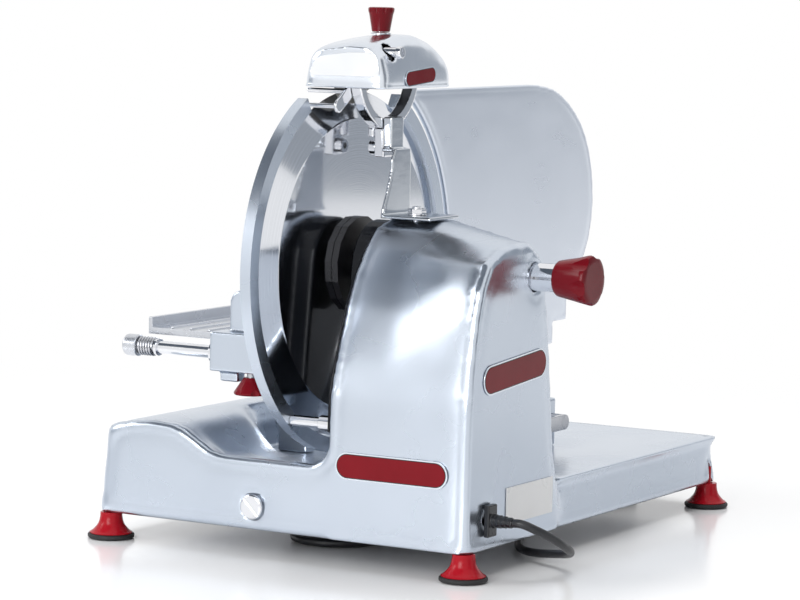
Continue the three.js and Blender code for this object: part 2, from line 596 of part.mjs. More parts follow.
place('spindle', asGeometry(join(
  turnX(spindleProfile, 0, axisZ),
  ...pinPlaces.map(([y, z]) => rodX(blade.recessX + clearance, spindleNeck - clearance, blade.pinRadius, y,
    z)),
)), steel);

// Bearing carrier bolted inside the tower's left wall
const [neckBore, spindleBore] = [spindle.neckRadius, spindle.radius].map((r) => turningBore(r, roundSteps));
place('bearing_carrier', turnX([
  [carrierStart, neckBore], [carrierStart, carrier.flangeRadius], [neckEnd, carrier.flangeRadius],
  [neckEnd, carrier.radius], [neckEnd + carrier.length, carrier.radius],
    [neckEnd + carrier.length, spindleBore],
  [neckEnd, spindleBore], [neckEnd, neckBore], [carrierStart, neckBore],
], 0, axisZ), castAluminium);

// Belt drive in front of the tower: motor, two pulleys and the belt
const pulleyProfile = (radius, bore) => {
  const end = pulley.start + pulley.width;
  const rim = radius + pulley.lip;
  return [
    [pulley.start, bore], [pulley.start, rim], [pulley.start + pulley.lipWidth, rim],
    [pulley.start + pulley.lipWidth, radius], [end - pulley.lipWidth, radius], [end - pulley.lipWidth, rim],
    [end, rim], [end, bore], [pulley.start, bore],
  ];
};
place('blade_pulley', turnX(pulleyProfile(pulley.bladeRadius, spindle.neckRadius + clearance), 0, axisZ),
  steel);
const motorFlange = tower.left + base.wall + clearance;
const motorBody = motorFlange + motor.flangeThickness;
const shaftEnd = motorBody + motor.length / 2;
place('motor_pulley', turnX([
  [pulley.start, 0], ...pulleyProfile(pulley.motorRadius, motor.shaftRadius).slice(1, -2),
  [pulley.start + pulley.width, motor.shaftRadius], [shaftEnd, motor.shaftRadius], [shaftEnd, 0],
], motor.y, motor.z), steel);
const motorBore = turningBore(motor.shaftRadius, roundSteps);
place('motor', turnX([
  [motorFlange, motorBore], [motorFlange, motor.flange], [motorBody, motor.flange],
    [motorBody, motor.radius],
  [motorBody + motor.length, motor.radius], [motorBody + motor.length, motor.capRadius],
  [motorBody + motor.length + motor.capLength, motor.capRadius],
    [motorBody + motor.length + motor.capLength, 0],
  [shaftEnd + clearance, 0], [shaftEnd + clearance, motorBore], [motorFlange, motorBore],
], motor.y, motor.z), darkSteel);

// The outline of a band round both drive axes
const driveLoop = (bladeRadius, motorRadius) => {
  const [dy, dz] = [motor.y, motor.z - axisZ];
  const along = Math.atan2(dz, dy);
  const lean = Math.acos((bladeRadius - motorRadius) / Math.hypot(dy, dz));
  const loop = new THREE.Shape();
  loop.absarc(0, axisZ, bladeRadius, along + lean, along - lean + 2 * Math.PI, false);
  loop.absarc(motor.y, motor.z, motorRadius, along - lean, along + lean, false);
  return loop;
};
const makeBelt = () => {
  const start = pulley.start + pulley.lipWidth + clearance;
  const end = pulley.start + pulley.width - pulley.lipWidth - clearance;
  const inside = driveLoop(pulley.bladeRadius + clearance, pulley.motorRadius + clearance);
  const outside = driveLoop(
    pulley.bladeRadius + clearance + belt.thickness, pulley.motorRadius + clearance + belt.thickness);
  return asSolid(slabX(outside, start, end, roundSteps)).subtract(
    asSolid(slabX(inside, start - overrun, end + overrun, roundSteps)));
};
place('drive_belt', asGeometry(makeBelt()), rubber);

// Black cover over the belt drive: a panel on the tower with a raised case round both pulleys
const makeBeltCover = () => {
  const back = tower.left - clearance;
  const front = back - beltCover.thickness;
  const room = pulley.lip + beltCover.roomRound;
  const caseRadii = [pulley.bladeRadius + room, pulley.motorRadius + room];
  const panelOutline = inset(leftOutline, beltCover.inset);
  const panel = asSolid(slabX(outline(panelOutline), front, back)).subtract(asSolid(box(
    front - overrun, back + overrun, base.front - overrun, tower.back + overrun, 0, beltCover.bottom)));
  const caseSolid = asSolid(slabX(
    driveLoop(...caseRadii), beltCover.front + beltCover.step, back, roundSteps / 2));
  const caseFace = asSolid(slabX(
    driveLoop(...caseRadii.map((r) => r - beltCover.step)), beltCover.front, back, roundSteps / 2));
  const inside = asSolid(slabX(driveLoop(...caseRadii.map((r) => r - beltCover.wall)),
    beltCover.front + beltCover.wall, back + overrun, roundSteps / 2));
  return cut(
    panel.add(caseSolid).add(caseFace).subtract(inside),
    rodX(beltCover.front - overrun, back, spindle.neckRadius + beltCover.holeClearance, 0, axisZ,
      roundSteps),
    rodX(front - overrun, back + overrun, post.sleeveRadius + clearance, post.y, post.z),
  );
};
place('belt_cover', asGeometry(makeBeltCover()), blackPlastic);

// Tie rod through the hollow spindle, with its sleeve in the tower's right wall and its lobed knob
const knobSocketEnd = tieKnob.start + tieKnob.socket;
place('tie_rod', rodX(tieRod.start, knobSocketEnd - clearance, tieRod.radius, 0, axisZ), steel);
const sleeveBore = turningBore(tieRod.radius, roundSteps);
place('tie_rod_sleeve', turnX([
  [tieRod.sleeveStart, sleeveBore], [tieRod.sleeveStart, tieRod.sleeveRadius],
  [tieRod.sleeveEnd, tieRod.sleeveRadius], [tieRod.sleeveEnd, sleeveBore], [tieRod.sleeveStart, sleeveBore],
], 0, axisZ), chrome);
const makeTieKnob = () => {
  const grip = skin(gripStations(tieKnob, tieKnob.start, 1).map(([x, radius]) => lobedCircle(
    radius, tieKnob.lobes, tieKnob.lobeDepth).map(([u, v]) => [x, u, axisZ + v])));
  return cut(
    asSolid(grip),
    rodX(tieKnob.start - overrun, tieRod.sleeveEnd + clearance,
      turningBore(tieRod.sleeveRadius, roundSteps), 0, axisZ,
      roundSteps),
    rodX(tieKnob.start - overrun, knobSocketEnd, tieRod.radius + clearance, 0, axisZ),
  );
};
place('tie_rod_knob', asGeometry(makeTieKnob()), redPlastic);

// Sharpener leg: a folded sheet with its seat on the tower and its guide block at the top
const sheetRight = leg.x + leg.thickness;
const seatZ = Math.max(...leftOutline.map(([, z]) => z)) + clearance;
const legFlareShares = [[0.55, 0.62], [0.9, 0.84]];
const makeLeg = () => {
  const riser = outline([
    [leg.seatFront, seatZ], [leg.seatBack, seatZ], [leg.waistBack, seatZ + leg.thickness * 2],
    [leg.waistBack, leg.waistZ], [leg.topBack, leg.top], [leg.topFront, leg.top],
      [leg.waistFront, leg.waistZ],
    [leg.waistFront, leg.waistZ - leg.thickness * 3],
    ...legFlareShares.map(([u, v]) => [mix(leg.waistFront, leg.seatFront, u), mix(leg.waistZ, seatZ, v)]),
  ]);
  const seat = box(leg.x, leg.seatRight, leg.seatFront, leg.seatBack, seatZ, seatZ + leg.thickness);
  const hem = box(block.left, sheetRight, leg.topFront, leg.topBack, leg.top - leg.thickness, leg.top);
  const guide = box(block.left, block.right, -block.halfWidth, block.halfWidth, leg.top - leg.thickness / 2,
    block.top);
  const slotFrom = yoke.boltZ - yoke.boltHole - clearance;
  const slotTo = yoke.boltZ + yoke.boltHole + yoke.lift + clearance;
  const slot = box(block.left - overrun, block.left + block.slotDepth, -yoke.boltHole - clearance,
    yoke.boltHole + clearance, slotFrom, slotTo);
  return cut(
    join(slabX(riser, leg.x, sheetRight), seat, hem, guide),
    slot,
    rodZ(seatZ - overrun, seatZ + overrun, leg.studRadius + clearance, leg.boltX, leg.boltY),
  );
};
place('sharpener_leg', asGeometry(makeLeg()), chrome);
const legBoltZ = seatZ + leg.thickness + clearance;
place('leg_bolt', turnZ([
  [legBoltZ - leg.studLength, 0], [legBoltZ - leg.studLength, leg.studRadius], [legBoltZ, leg.studRadius],
  [legBoltZ, leg.boltRadius], [legBoltZ + leg.boltHeight, leg.boltRadius], [legBoltZ + leg.boltHeight, 0],
], leg.boltX, leg.boltY), chrome);

// Yoke that slides on the guide block and carries the head on two pins
const yokeLeft = yoke.left;
const yokeRight = block.left - clearance;
const earLeft = block.left;
const earRight = earLeft + stone.earWidth;
const yokeMiddle = (yoke.inner + yoke.outer) / 2;
const yokeSpread = Math.asin((yoke.centreZ - yoke.tipZ) / yokeMiddle);
const yokeReach = yokeMiddle * Math.cos(yokeSpread);
const hexBolt = (from, to, shank, y, z) => join(
  rodX(from - yoke.boltHeight, from, yoke.boltHead, y, z, yoke.hexSides),
  rodX(from - yoke.boltHeight / 2, to, shank, y, z),
);
const makeYoke = () => {
  const arch = new THREE.Shape();
  arch.absarc(0, yoke.centreZ, yoke.outer, Math.PI + yokeSpread, 2 * Math.PI - yokeSpread, false);
  arch.absarc(0, yoke.centreZ, yoke.inner, 2 * Math.PI - yokeSpread, Math.PI + yokeSpread, true);
  const stem = box(yokeLeft, yokeRight, -yoke.stemHalfWidth, yoke.stemHalfWidth, yoke.stemBottom,
    yoke.centreZ - yoke.inner - clearance);
  const lug = box(yoke.postX, yokeRight, -yoke.stemHalfWidth, yoke.stemHalfWidth,
    yoke.centreZ - yoke.outer + clearance, yoke.centreZ - yoke.outer + yoke.lugHeight);
  const body = cut(
    join(slabX(arch, yokeLeft, yokeRight, smallSteps), stem, lug,
      rodZ(yoke.postBottom, yoke.postTop, yoke.postRadius, yoke.postX, 0)),
    rodX(yokeLeft - overrun, yokeRight + overrun, yoke.boltHole + clearance, 0, yoke.boltZ),
  );
  return [-yokeReach, yokeReach].reduce((whole, y) => whole
    .add(asSolid(rodX(yokeLeft, yokeRight, yoke.eyeRadius, y, yoke.tipZ)))
    .add(hexBolt(yokeLeft + clearance, earRight - clearance, yoke.eyeHole, y, yoke.tipZ)), body);
};
place('sharpener_yoke', asGeometry(makeYoke()), chrome);
place('yoke_bolt', asGeometry(hexBolt(
  yokeLeft - clearance, block.left + block.slotDepth - clearance, yoke.boltHole, 0, yoke.boltZ)), chrome);

// Sharpener head: a cast cover with a frame inside that carries both stones
const headTopShares = [
  [0, 0.78], [0.06, 0.85], [0.2, 0.93], [0.42, 1], [0.62, 0.99], [0.8, 0.87], [0.92, 0.66], [1, 0.46],
];
const archShares = [[0, 0.1], [0.1, 0.24], [0.25, 0.36], [0.5, 0.46], [0.78, 0.45], [0.92, 0.34], [1, 0.1]];
const headSlopeShares = [[0.02, 0.3], [0.06, 0.66], [0.12, 0.81], [0.2, 0.89], [0.4, 0.95], [0.6, 1]];
const headCheekShares = [[0.82, 0.97], [0.94, 0.62], [1, 0]];
const headStationShares = [0.2, 0.3, 0.42, 0.52, 0.62, 0.72, 0.8];
const headTop = head.bottom + head.height;
const plateBottom = head.bottom + head.plateRise;
const buttonZ = head.bottom + button.rise;
const headSection = (y, margin) => {
  const at = (y - head.front) / (head.back - head.front);
  const depth = Math.min(y - head.front, head.back - y) - margin;
  const side = roundOff(head.cornerRadius - margin, depth) + margin;
  const top = head.bottom + head.height * lookup(headTopShares, at) - margin;
  const arch = head.bottom + head.height * lookup(archShares, at) - margin;
  const low = head.bottom - (margin > 0 ? overrun : 0);
  const [left, right] = [head.left + side, head.right - side];
  const width = right - left;
  return [
    [left, low], ...headSlopeShares.map(([u, v]) => [left + width * u, mix(low, top, v)]),
    ...headCheekShares.map(([u, v]) => [left + width * u, mix(arch, top, v)]), [right, low],
  ].map(([x, z]) => [x, y, z]);
};
const headLoft = (margin) => {
  const [front, back] = [head.front + margin, head.back - margin];
  const ends = (margin > 0 ? innerRoundingShares : roundingShares).map(
    (share) => (head.cornerRadius - margin) * share);
  return skin([
    ...ends.map((depth) => headSection(front + depth, margin)),
    ...headStationShares.map((share) => headSection(mix(head.front, head.back, share), margin)),
    ...ends.reverse().map((depth) => headSection(back - depth, margin)),
  ]);
};
const headHeightAt = (x, y) => {
  const section = headSection(y, 0).map(([u, , w]) => [u, w]);
  const top = section.slice(1, -1);
  const next = top.findIndex(([u]) => u >= x);
  const [[a, u], [b, v]] = [top[next - 1], top[next]];
  return mix(u, v, (x - a) / (b - a));
};
const knobSeat = headHeightAt(headKnob.x, headKnob.y);
const makeHeadCover = () => {
  const shell = asSolid(headLoft(0)).subtract(asSolid(headLoft(head.wall)));
  return cut(
    shell,
    box(head.left + head.windowSide, head.right - head.windowEnd, head.front - overrun,
      head.front + head.windowDepth,
      head.bottom + head.windowRise, head.bottom + head.windowRise + head.windowHeight),
    rodZ(plateBottom, headTop + overrun, turningBore(headKnob.stemRadius), headKnob.x, headKnob.y),
    rodZ(knobSeat - clearance, headTop + overrun, turningBore(headKnob.collarRadius, roundSteps),
      headKnob.x,
      headKnob.y, roundSteps),
    rodX(head.right - head.cornerRadius * 2, head.right + overrun, button.bushRadius, button.y, buttonZ),
  );
};
place('head_cover', asGeometry(makeHeadCover()), castAluminium);

// Frame under the cover: a plate with ears for the stones' pins and for the yoke's pins
const grindEar = stone.grindX + stone.grindWidth + clearance;
const honeEar = stone.honeX + stone.honeWidth + clearance;
const plateTop = plateBottom + head.plateThickness;
const bushStart = head.right - head.wall * 4;
const bushEnd = head.right - head.wall - clearance;
const stoneWindow = (left, ear, radius, y) => box(
  left - stone.room, ear, y - radius - stone.room, y + radius + stone.room, stone.z, plateTop + overrun);
const makeHeadFrame = () => {
  const edge = head.wall + clearance;
  const plate = slabZ(roundedRectangle(
    head.left + edge * 2, head.right - edge, head.front + edge, head.back - edge,
      head.cornerRadius - head.wall),
  plateBottom, plateTop);
  const ear = (left, right, y, z) => [
    rodX(left, right, stone.earRadius, y, z), box(left, right, y - stone.earRadius, y + stone.earRadius, z,
      plateTop)];
  const room = asSolid(headLoft(head.wall + clearance));
  const solid = join(
    plate, ...ear(grindEar, grindEar + stone.earWidth, stone.grindY, stone.z),
    ...ear(honeEar, honeEar + stone.earWidth, stone.honeY, stone.z),
    ...ear(earLeft, earRight, -yokeReach, yoke.tipZ), ...ear(earLeft, earRight, yokeReach, yoke.tipZ),
    rodX(bushStart, bushEnd, button.bushRadius - clearance, button.y, buttonZ),
    box(bushStart, bushEnd, button.y - button.radius, button.y + button.radius, plateBottom, buttonZ),
  ).intersect(room);
  return cut(
    solid,
    rodX(grindEar - overrun, grindEar + stone.earWidth + overrun, turningBore(stone.pinRadius),
      stone.grindY, stone.z),
    rodX(honeEar - overrun, honeEar + stone.earWidth + overrun, turningBore(stone.pinRadius), stone.honeY,
      stone.z),
    ...[-yokeReach, yokeReach].map((y) => rodX(
      earLeft - overrun, earRight + overrun, yoke.eyeHole + clearance, y, yoke.tipZ)),
    rodZ(plateBottom - overrun, plateTop + overrun, turningBore(headKnob.stemRadius), headKnob.x,
      headKnob.y),
    rodX(bushStart - overrun, bushEnd + overrun, button.radius + clearance, button.y, buttonZ),
    stoneWindow(stone.grindX, grindEar, stone.grindRadius, stone.grindY),
    stoneWindow(stone.honeX, honeEar, stone.honeRadius, stone.honeY),
  );
};
place('head_frame', asGeometry(makeHeadFrame()), darkSteel);

// Grinding and honing stones, each turning with its own pin
const makeStone = (left, width, radius, ear, y) => join(
  rodX(left, left + width, radius, y, stone.z, roundSteps),
  rodX(left + width / 2, ear + stone.earWidth + clearance + stone.pinHeadWidth, stone.pinRadius, y,
    stone.z),
  rodX(ear + stone.earWidth + clearance, ear + stone.earWidth + clearance + stone.pinHeadWidth,
    stone.pinHead, y,
    stone.z),
);
place('grinding_stone', asGeometry(makeStone(
  stone.grindX, stone.grindWidth, stone.grindRadius, grindEar, stone.grindY)), stoneGrey);
place('honing_stone', asGeometry(makeStone(
  stone.honeX, stone.honeWidth, stone.honeRadius, honeEar, stone.honeY)), stoneGrey);

// Head knob with its collar, and the push button for the stones
const collarTop = knobSeat + headKnob.collarHeight;
place('head_knob_stem', turnZ([
  [plateBottom, 0], [plateBottom, headKnob.stemRadius], [knobSeat, headKnob.stemRadius],
  [knobSeat, headKnob.collarRadius], [collarTop, headKnob.collarRadius - headKnob.endRound],
  [collarTop, headKnob.stemRadius], [collarTop + headKnob.height / 2, headKnob.stemRadius],
  [collarTop + headKnob.height / 2, 0],
], headKnob.x, headKnob.y, roundSteps), chrome);
const headGrip = { ...headKnob, length: headKnob.height, tipRadius: headKnob.footRadius };
const makeHeadKnob = () => cut(
  asSolid(skin(gripStations(headGrip, collarTop + clearance, 1).map(([z, radius]) => lobedCircle(
    radius, headKnob.lobes, headKnob.lobeDepth).map(([u, v]) => [headKnob.x + u, headKnob.y + v, z])))),
  rodZ(collarTop - overrun, collarTop + headKnob.height / 2 + clearance, headKnob.stemRadius + clearance,
    headKnob.x, headKnob.y),
);
place('head_knob', asGeometry(makeHeadKnob()), redPlastic);
place('push_button', turnX([
  [bushStart, 0], [bushStart, button.radius], [bushEnd + button.travel + clearance, button.radius],
  [bushEnd + button.travel + clearance, button.headRadius],
  [bushEnd + button.travel + clearance + button.headLength, button.headRadius],
  [bushEnd + button.travel + clearance + button.headLength, 0],
], button.y, buttonZ), chrome);

// Two cross rods in front of the yoke on a link plate bolted to its front arm
const linkRight = yokeLeft - clearance;
const linkLeft = linkRight - stay.linkThickness;
const stayPlaces = [[stay.frontY, stay.frontZ], [stay.backY, stay.backZ]];
const makeStay = () => {
  const plate = join(
    ...stayPlaces.map(([y, z]) => rodX(linkLeft, linkRight, stay.linkRadius, y, z)),
  );
  const [dy, dz] = [stay.backY - stay.frontY, stay.backZ - stay.frontZ];
  const length = Math.hypot(dy, dz);
  const strip = box(linkLeft, linkRight, 0, length, -stay.linkRadius, stay.linkRadius)
    .rotateX(Math.atan2(dz, dy)).translate(0, stay.frontY, stay.frontZ);
  const pinHole = rodX(linkLeft - overrun, linkRight + overrun, yoke.boltHead + clearance, -yokeReach,
    yoke.tipZ);
  return cut(
    plate.add(asSolid(strip)).add(join(...stayPlaces.map(([y, z]) => rodX(
      stay.left, linkRight - stay.linkThickness / 2, stay.rodRadius, y, z)))),
    pinHole,
  );
};
place('stay_rods', asGeometry(makeStay()), chrome);

// Bare lozenge plates on the front, the right side and the head
const badgeShape = (length, height) => roundedRectangle(
  -length / 2, length / 2, -height / 2, height / 2, height / 2 - clearance);
place('front_badge', slabY(
  badgeShape(badge.frontLength, badge.frontHeight),
  tower.front - clearance - badge.thickness, tower.front - clearance,
).translate(badge.frontX, 0, badge.frontZ), redPlastic);
place('side_badge', slabX(
  badgeShape(badge.sideLength, badge.sideHeight),
  tower.right + clearance, tower.right + clearance + badge.thickness,
).rotateX(badge.sideTilt).translate(0, badge.sideY, badge.sideZ), redPlastic);
place('head_badge', slabX(
  badgeShape(badge.headLength, badge.headHeight),
  head.right + clearance, head.right + clearance + badge.thickness,
).rotateX(badge.headTilt).translate(0, badge.headY, badge.headZ), redPlastic);
place('rating_plate', box(tower.right + clearance, tower.right + clearance + ratingPlate.thickness,
  ratingPlate.front,
  ratingPlate.back, ratingPlate.bottom, ratingPlate.top), whiteLabel);

// Slotted plug in the base's front
const makeSlotPlug = () => {
  const seat = base.front - clearance;
  const disc = turnY([
    [seat - slotPlug.thickness, 0], [seat - slotPlug.thickness, slotPlug.radius - slotPlug.slotDepth / 2],
    [seat - slotPlug.thickness / 2, slotPlug.radius], [seat, slotPlug.radius], [seat, slotPlug.stemRadius],
    [seat + slotPlug.stemLength, slotPlug.stemRadius], [seat + slotPlug.stemLength, 0],
  ], slotPlug.x, slotPlug.z);
  const slot = box(-slotPlug.radius * 2, slotPlug.radius * 2, -overrun, slotPlug.slotDepth,
    -slotPlug.slotWidth / 2,
    slotPlug.slotWidth / 2).rotateY(Math.PI / 4).translate(slotPlug.x, seat - slotPlug.thickness,
      slotPlug.z);
  return cut(asSolid(disc), slot);
};
place('slot_plug', asGeometry(makeSlotPlug()), chrome);

// Gauge plate with its web, the two bars it slides on and their guide block
const gaugeBack = gauge.face + gauge.thickness;
const webRight = gaugeBack + gaugeSlide.webThickness;
const barYs = [gaugeSlide.y, gaugeSlide.y + gaugeSlide.spacing];
const webEdge = gaugeSlide.barRadius + gaugeSlide.guideWall;
const gaugeEdgeShares = [
  [0.833, 0.182], [0.881, 0.241], [0.928, 0.302], [0.957, 0.343], [0.985, 0.42], [0.998, 0.506],
    [0.997, 0.594],
  [0.98, 0.682], [0.953, 0.761], [0.91, 0.832], [0.861, 0.886], [0.798, 0.935], [0.72, 0.975],
    [0.63, 0.994],
  [0.545, 1],
];
const makeGauge = () => {
  const reach = ringOuter + gauge.ringClearance;
  const from = Math.asin((gauge.top - axisZ) / reach);
  const to = -Math.acos(gauge.left / reach);
  const plate = new THREE.Shape();
  plate.moveTo(gauge.stepRight, gauge.bottom);
  plate.lineTo(gauge.stepRight, gauge.stepTop);
  plate.lineTo(gauge.lowerRight, gauge.stepTop);
  const edge = smoothOutline(gaugeEdgeShares.map(([u, v]) => [
    mix(gauge.left, gauge.right, u), mix(gauge.bottom, gauge.top, v)]), gauge.edgeSteps);
  for (const [y, z] of edge) plate.lineTo(y, z);
  plate.lineTo(reach * Math.cos(from), gauge.top);
  plate.absarc(0, axisZ, reach, from, to, true);
  plate.lineTo(gauge.left, gauge.bottom);
  const web = box(gaugeBack - gauge.thickness / 2, webRight, barYs[0] - webEdge, barYs[1] + webEdge,
    gaugeSlide.webBottom, gaugeSlide.webTop);
  const solid = join(slabX(plate, gauge.face, gaugeBack, smallSteps), web);
  return cut(solid, ...barYs.map((y) => rodX(
    gauge.face - overrun, webRight + overrun, gaugeSlide.barRadius + clearance, y, gaugeSlide.z)));
};
place('gauge_plate', asGeometry(makeGauge()), castAluminium);
place('gauge_bars', asGeometry(join(
  ...barYs.map((y) => rodX(gaugeBack, gaugeSlide.barEnd, gaugeSlide.barRadius, y, gaugeSlide.z)),
  box(gaugeSlide.barEnd - gaugeSlide.endPlate, gaugeSlide.barEnd, barYs[0], barYs[1],
    gaugeSlide.z - gaugeSlide.barRadius, gaugeSlide.z + gaugeSlide.barRadius),
)), steel);
const platformTop = base.floorTop + clearance;
const makeGuide = () => cut(
  asSolid(box(gaugeSlide.guideLeft, gaugeSlide.guideRight, barYs[0] - webEdge, barYs[1] + webEdge,
    platformTop,
    gaugeSlide.z + gaugeSlide.barRadius + gaugeSlide.guideWall)),
  ...barYs.map((y) => rodX(gaugeSlide.guideLeft - overrun, gaugeSlide.guideRight + overrun,
    gaugeSlide.barRadius + clearance, y, gaugeSlide.z)),
);
place('gauge_guide', asGeometry(makeGuide()), castAluminium);

// Slice thickness knob on the user's end face, with its shaft and dial
const knobFace = base.back + clearance;
const dialEnd = knobFace + thicknessKnob.dialWidth;
const thicknessGrip = {
  ...thicknessKnob, length: thicknessKnob.depth, tipRadius: thicknessKnob.radius,
    rimRadius: thicknessKnob.radius,
};
const makeThicknessKnob = () => join(
  rodY(thicknessKnob.shaftEnd, dialEnd, thicknessKnob.shaftRadius, thicknessKnob.x, thicknessKnob.z),
  rodY(knobFace, dialEnd + overrun / 2, thicknessKnob.dialRadius, thicknessKnob.x, thicknessKnob.z,
    roundSteps),
  skin(gripStations(thicknessGrip, dialEnd, 1).map(([y, radius]) => lobedCircle(
    radius, thicknessKnob.lobes, thicknessKnob.lobeDepth).map(([u, v]) => [
    thicknessKnob.x + v, y, thicknessKnob.z + u]))),
);
place('thickness_knob', asGeometry(makeThicknessKnob()), redPlastic);

// Switch plate with its start and stop buttons
const switchYs = base.back + clearance;
const switchFace = switchYs + switches.thickness;
const [startX, stopX] = [switches.x + switches.spacing / 2, switches.x - switches.spacing / 2];
const makeSwitchPlate = () => cut(
  asSolid(slabY(roundedRectangle(switches.x - switches.width / 2, switches.x + switches.width / 2,
    switches.z - switches.height / 2, switches.z + switches.height / 2, switches.thickness), switchYs,
      switchFace)),
  ...[startX, stopX].map((x) => rodY(
    switchYs - overrun, switchFace + overrun, switches.stemRadius + clearance, x, switches.z)),
);
place('switch_plate', asGeometry(makeSwitchPlate()), blackPlastic);
const makeSwitchButton = (x) => {
  const rest = switchFace + switches.travel + clearance;
  return turnY([
    [rest - switches.stemLength, 0], [rest - switches.stemLength, switches.stemRadius],
      [rest, switches.stemRadius],
    [rest, switches.buttonRadius], [rest + switches.buttonProud, switches.buttonRadius],
    [rest + switches.buttonProud, 0],
  ], x, switches.z);
};
place('start_button', makeSwitchButton(startX), greenPlastic);
place('stop_button', makeSwitchButton(stopX), redPlastic);

// Carriage: guide rail on two brackets, slider, table and the end block with its feed rod
const sliderBack = slider.front + slider.length;
const tableBottom = table.top - table.thickness;
const bracketFront = slider.front - slider.frontGap - rail.footLength;
const bracketBack = sliderBack + slider.travel + slider.backGap;
const railEnd = bracketBack + rail.footLength;
const makeBracket = (y) => cut(
  join(
    rodY(y, y + rail.footLength, slider.radius, rail.x, rail.z, roundSteps),
    box(rail.x - rail.footWidth / 2, rail.x + rail.footWidth / 2, y, y + rail.footLength, platformTop,
      rail.z),
  ),
  rodY(y - overrun, y + rail.footLength + overrun, rail.radius + clearance, rail.x, rail.z, roundSteps),
);
place('guide_rail', rodY(bracketFront, railEnd, rail.radius, rail.x, rail.z, roundSteps), chrome);
place('rail_bracket_front', asGeometry(makeBracket(bracketFront)), castAluminium);
place('rail_bracket_back', asGeometry(makeBracket(bracketBack)), castAluminium);
const makeSlider = () => cut(
  join(
    rodY(slider.front, sliderBack, slider.radius, rail.x, rail.z, roundSteps),
    box(rail.x - slider.webWidth / 2, rail.x + slider.webWidth / 2, slider.front, sliderBack, rail.z,
      tableBottom - clearance),
  ),
  rodY(slider.front - overrun, sliderBack + overrun, rail.radius + clearance, rail.x, rail.z, roundSteps),
);
place('carriage_slider', asGeometry(makeSlider()), castAluminium);
const makeTable = () => {
  const ribPitch = (table.right - table.left - table.ribMargin * 2) / (table.ribs - 1);
  const ribs = Array.from({ length: table.ribs }, (_, i) => {
    const x = table.left + table.ribMargin + ribPitch * i;
    return box(x - table.ribWidth / 2, x + table.ribWidth / 2, table.front + table.rimWidth,
      table.back - table.rimWidth, tableBottom + table.thickness / 2, table.top + table.ribRise);
  });
  return join(
    box(table.left, table.right, table.front, table.back, tableBottom, table.top),
    box(table.left, table.left + table.rimWidth, table.front, table.back, tableBottom,
      table.top + table.rimHeight),
    ...ribs,
  );
};
place('carriage_table', asGeometry(makeTable()), castAluminium);

const blockBack = table.front - clearance;
const feedSeat = endBlock.left + feedRod.seatDepth;
const makeEndBlock = () => {
  const lug = new THREE.Shape();
  lug.moveTo(endBlock.lugLeft, endBlock.top - overrun);
  lug.lineTo(endBlock.lugRight, endBlock.top - overrun);
  lug.lineTo(endBlock.lugRight, endBlock.lugTop);
  lug.lineTo(endBlock.lugLeft + endBlock.lugRound, endBlock.lugTop);
  lug.absarc(endBlock.lugLeft + endBlock.lugRound, endBlock.lugTop - endBlock.lugRound, endBlock.lugRound,
    Math.PI / 2, Math.PI, false);
  lug.lineTo(endBlock.lugLeft, endBlock.top - overrun);
  const lugDepth = (blockBack - endBlock.front) / 2;
  const toeInset = (blockBack - endBlock.front) * endBlock.toeInsetShare;
  return cut(
    join(
      box(endBlock.left, endBlock.right, endBlock.front, blockBack, endBlock.bottom, endBlock.top),
      slabY(lug, blockBack - lugDepth, blockBack),
      box(endBlock.toeLeft, endBlock.toeRight, endBlock.front + toeInset, blockBack - toeInset,
        endBlock.toeBottom, endBlock.bottom + overrun),
    ),
    rodX(endBlock.left - overrun, feedSeat, feedRod.radius + clearance, feedRod.y, feedRod.z),
    rodZ(endBlock.bottom - overrun, lockSocket, turningBore(lockKnob.stemRadius), lockKnob.x, lockKnob.y),
  );
};
const lockSocket = endBlock.bottom + lockKnob.socket;
place('end_block', asGeometry(makeEndBlock()), castAluminium);
const flangeLeft = endBlock.left - clearance - feedRod.flangeWidth;
const capRight = feedRod.end;
const springLeft = capRight + feedRod.wire + clearance;
const ringLeft = springLeft + feedRod.springLength + feedRod.wire + clearance;
place('feed_rod', turnX([
  [feedRod.end - feedRod.capSocket + clearance, 0],
    [feedRod.end - feedRod.capSocket + clearance, feedRod.radius],
  [ringLeft, feedRod.radius], [ringLeft, feedRod.ringRadius],
    [ringLeft + feedRod.ringWidth, feedRod.ringRadius],
  [ringLeft + feedRod.ringWidth, feedRod.radius], [flangeLeft, feedRod.radius],
    [flangeLeft, feedRod.flangeRadius],
  [flangeLeft + feedRod.flangeWidth, feedRod.flangeRadius],
    [flangeLeft + feedRod.flangeWidth, feedRod.radius],
  [feedSeat - clearance, feedRod.radius], [feedSeat - clearance, 0],
], feedRod.y, feedRod.z), chrome);
place('feed_rod_cap', turnX([
  [capRight - feedRod.capLength, 0], [capRight - feedRod.capLength, feedRod.capRadius - clearance * 4],
  [capRight - feedRod.capLength + clearance * 4, feedRod.capRadius], [capRight, feedRod.capRadius],
  [capRight, feedRod.radius + clearance], [capRight - feedRod.capSocket, feedRod.radius + clearance],
  [capRight - feedRod.capSocket, 0],
], feedRod.y, feedRod.z), sheetAluminium);

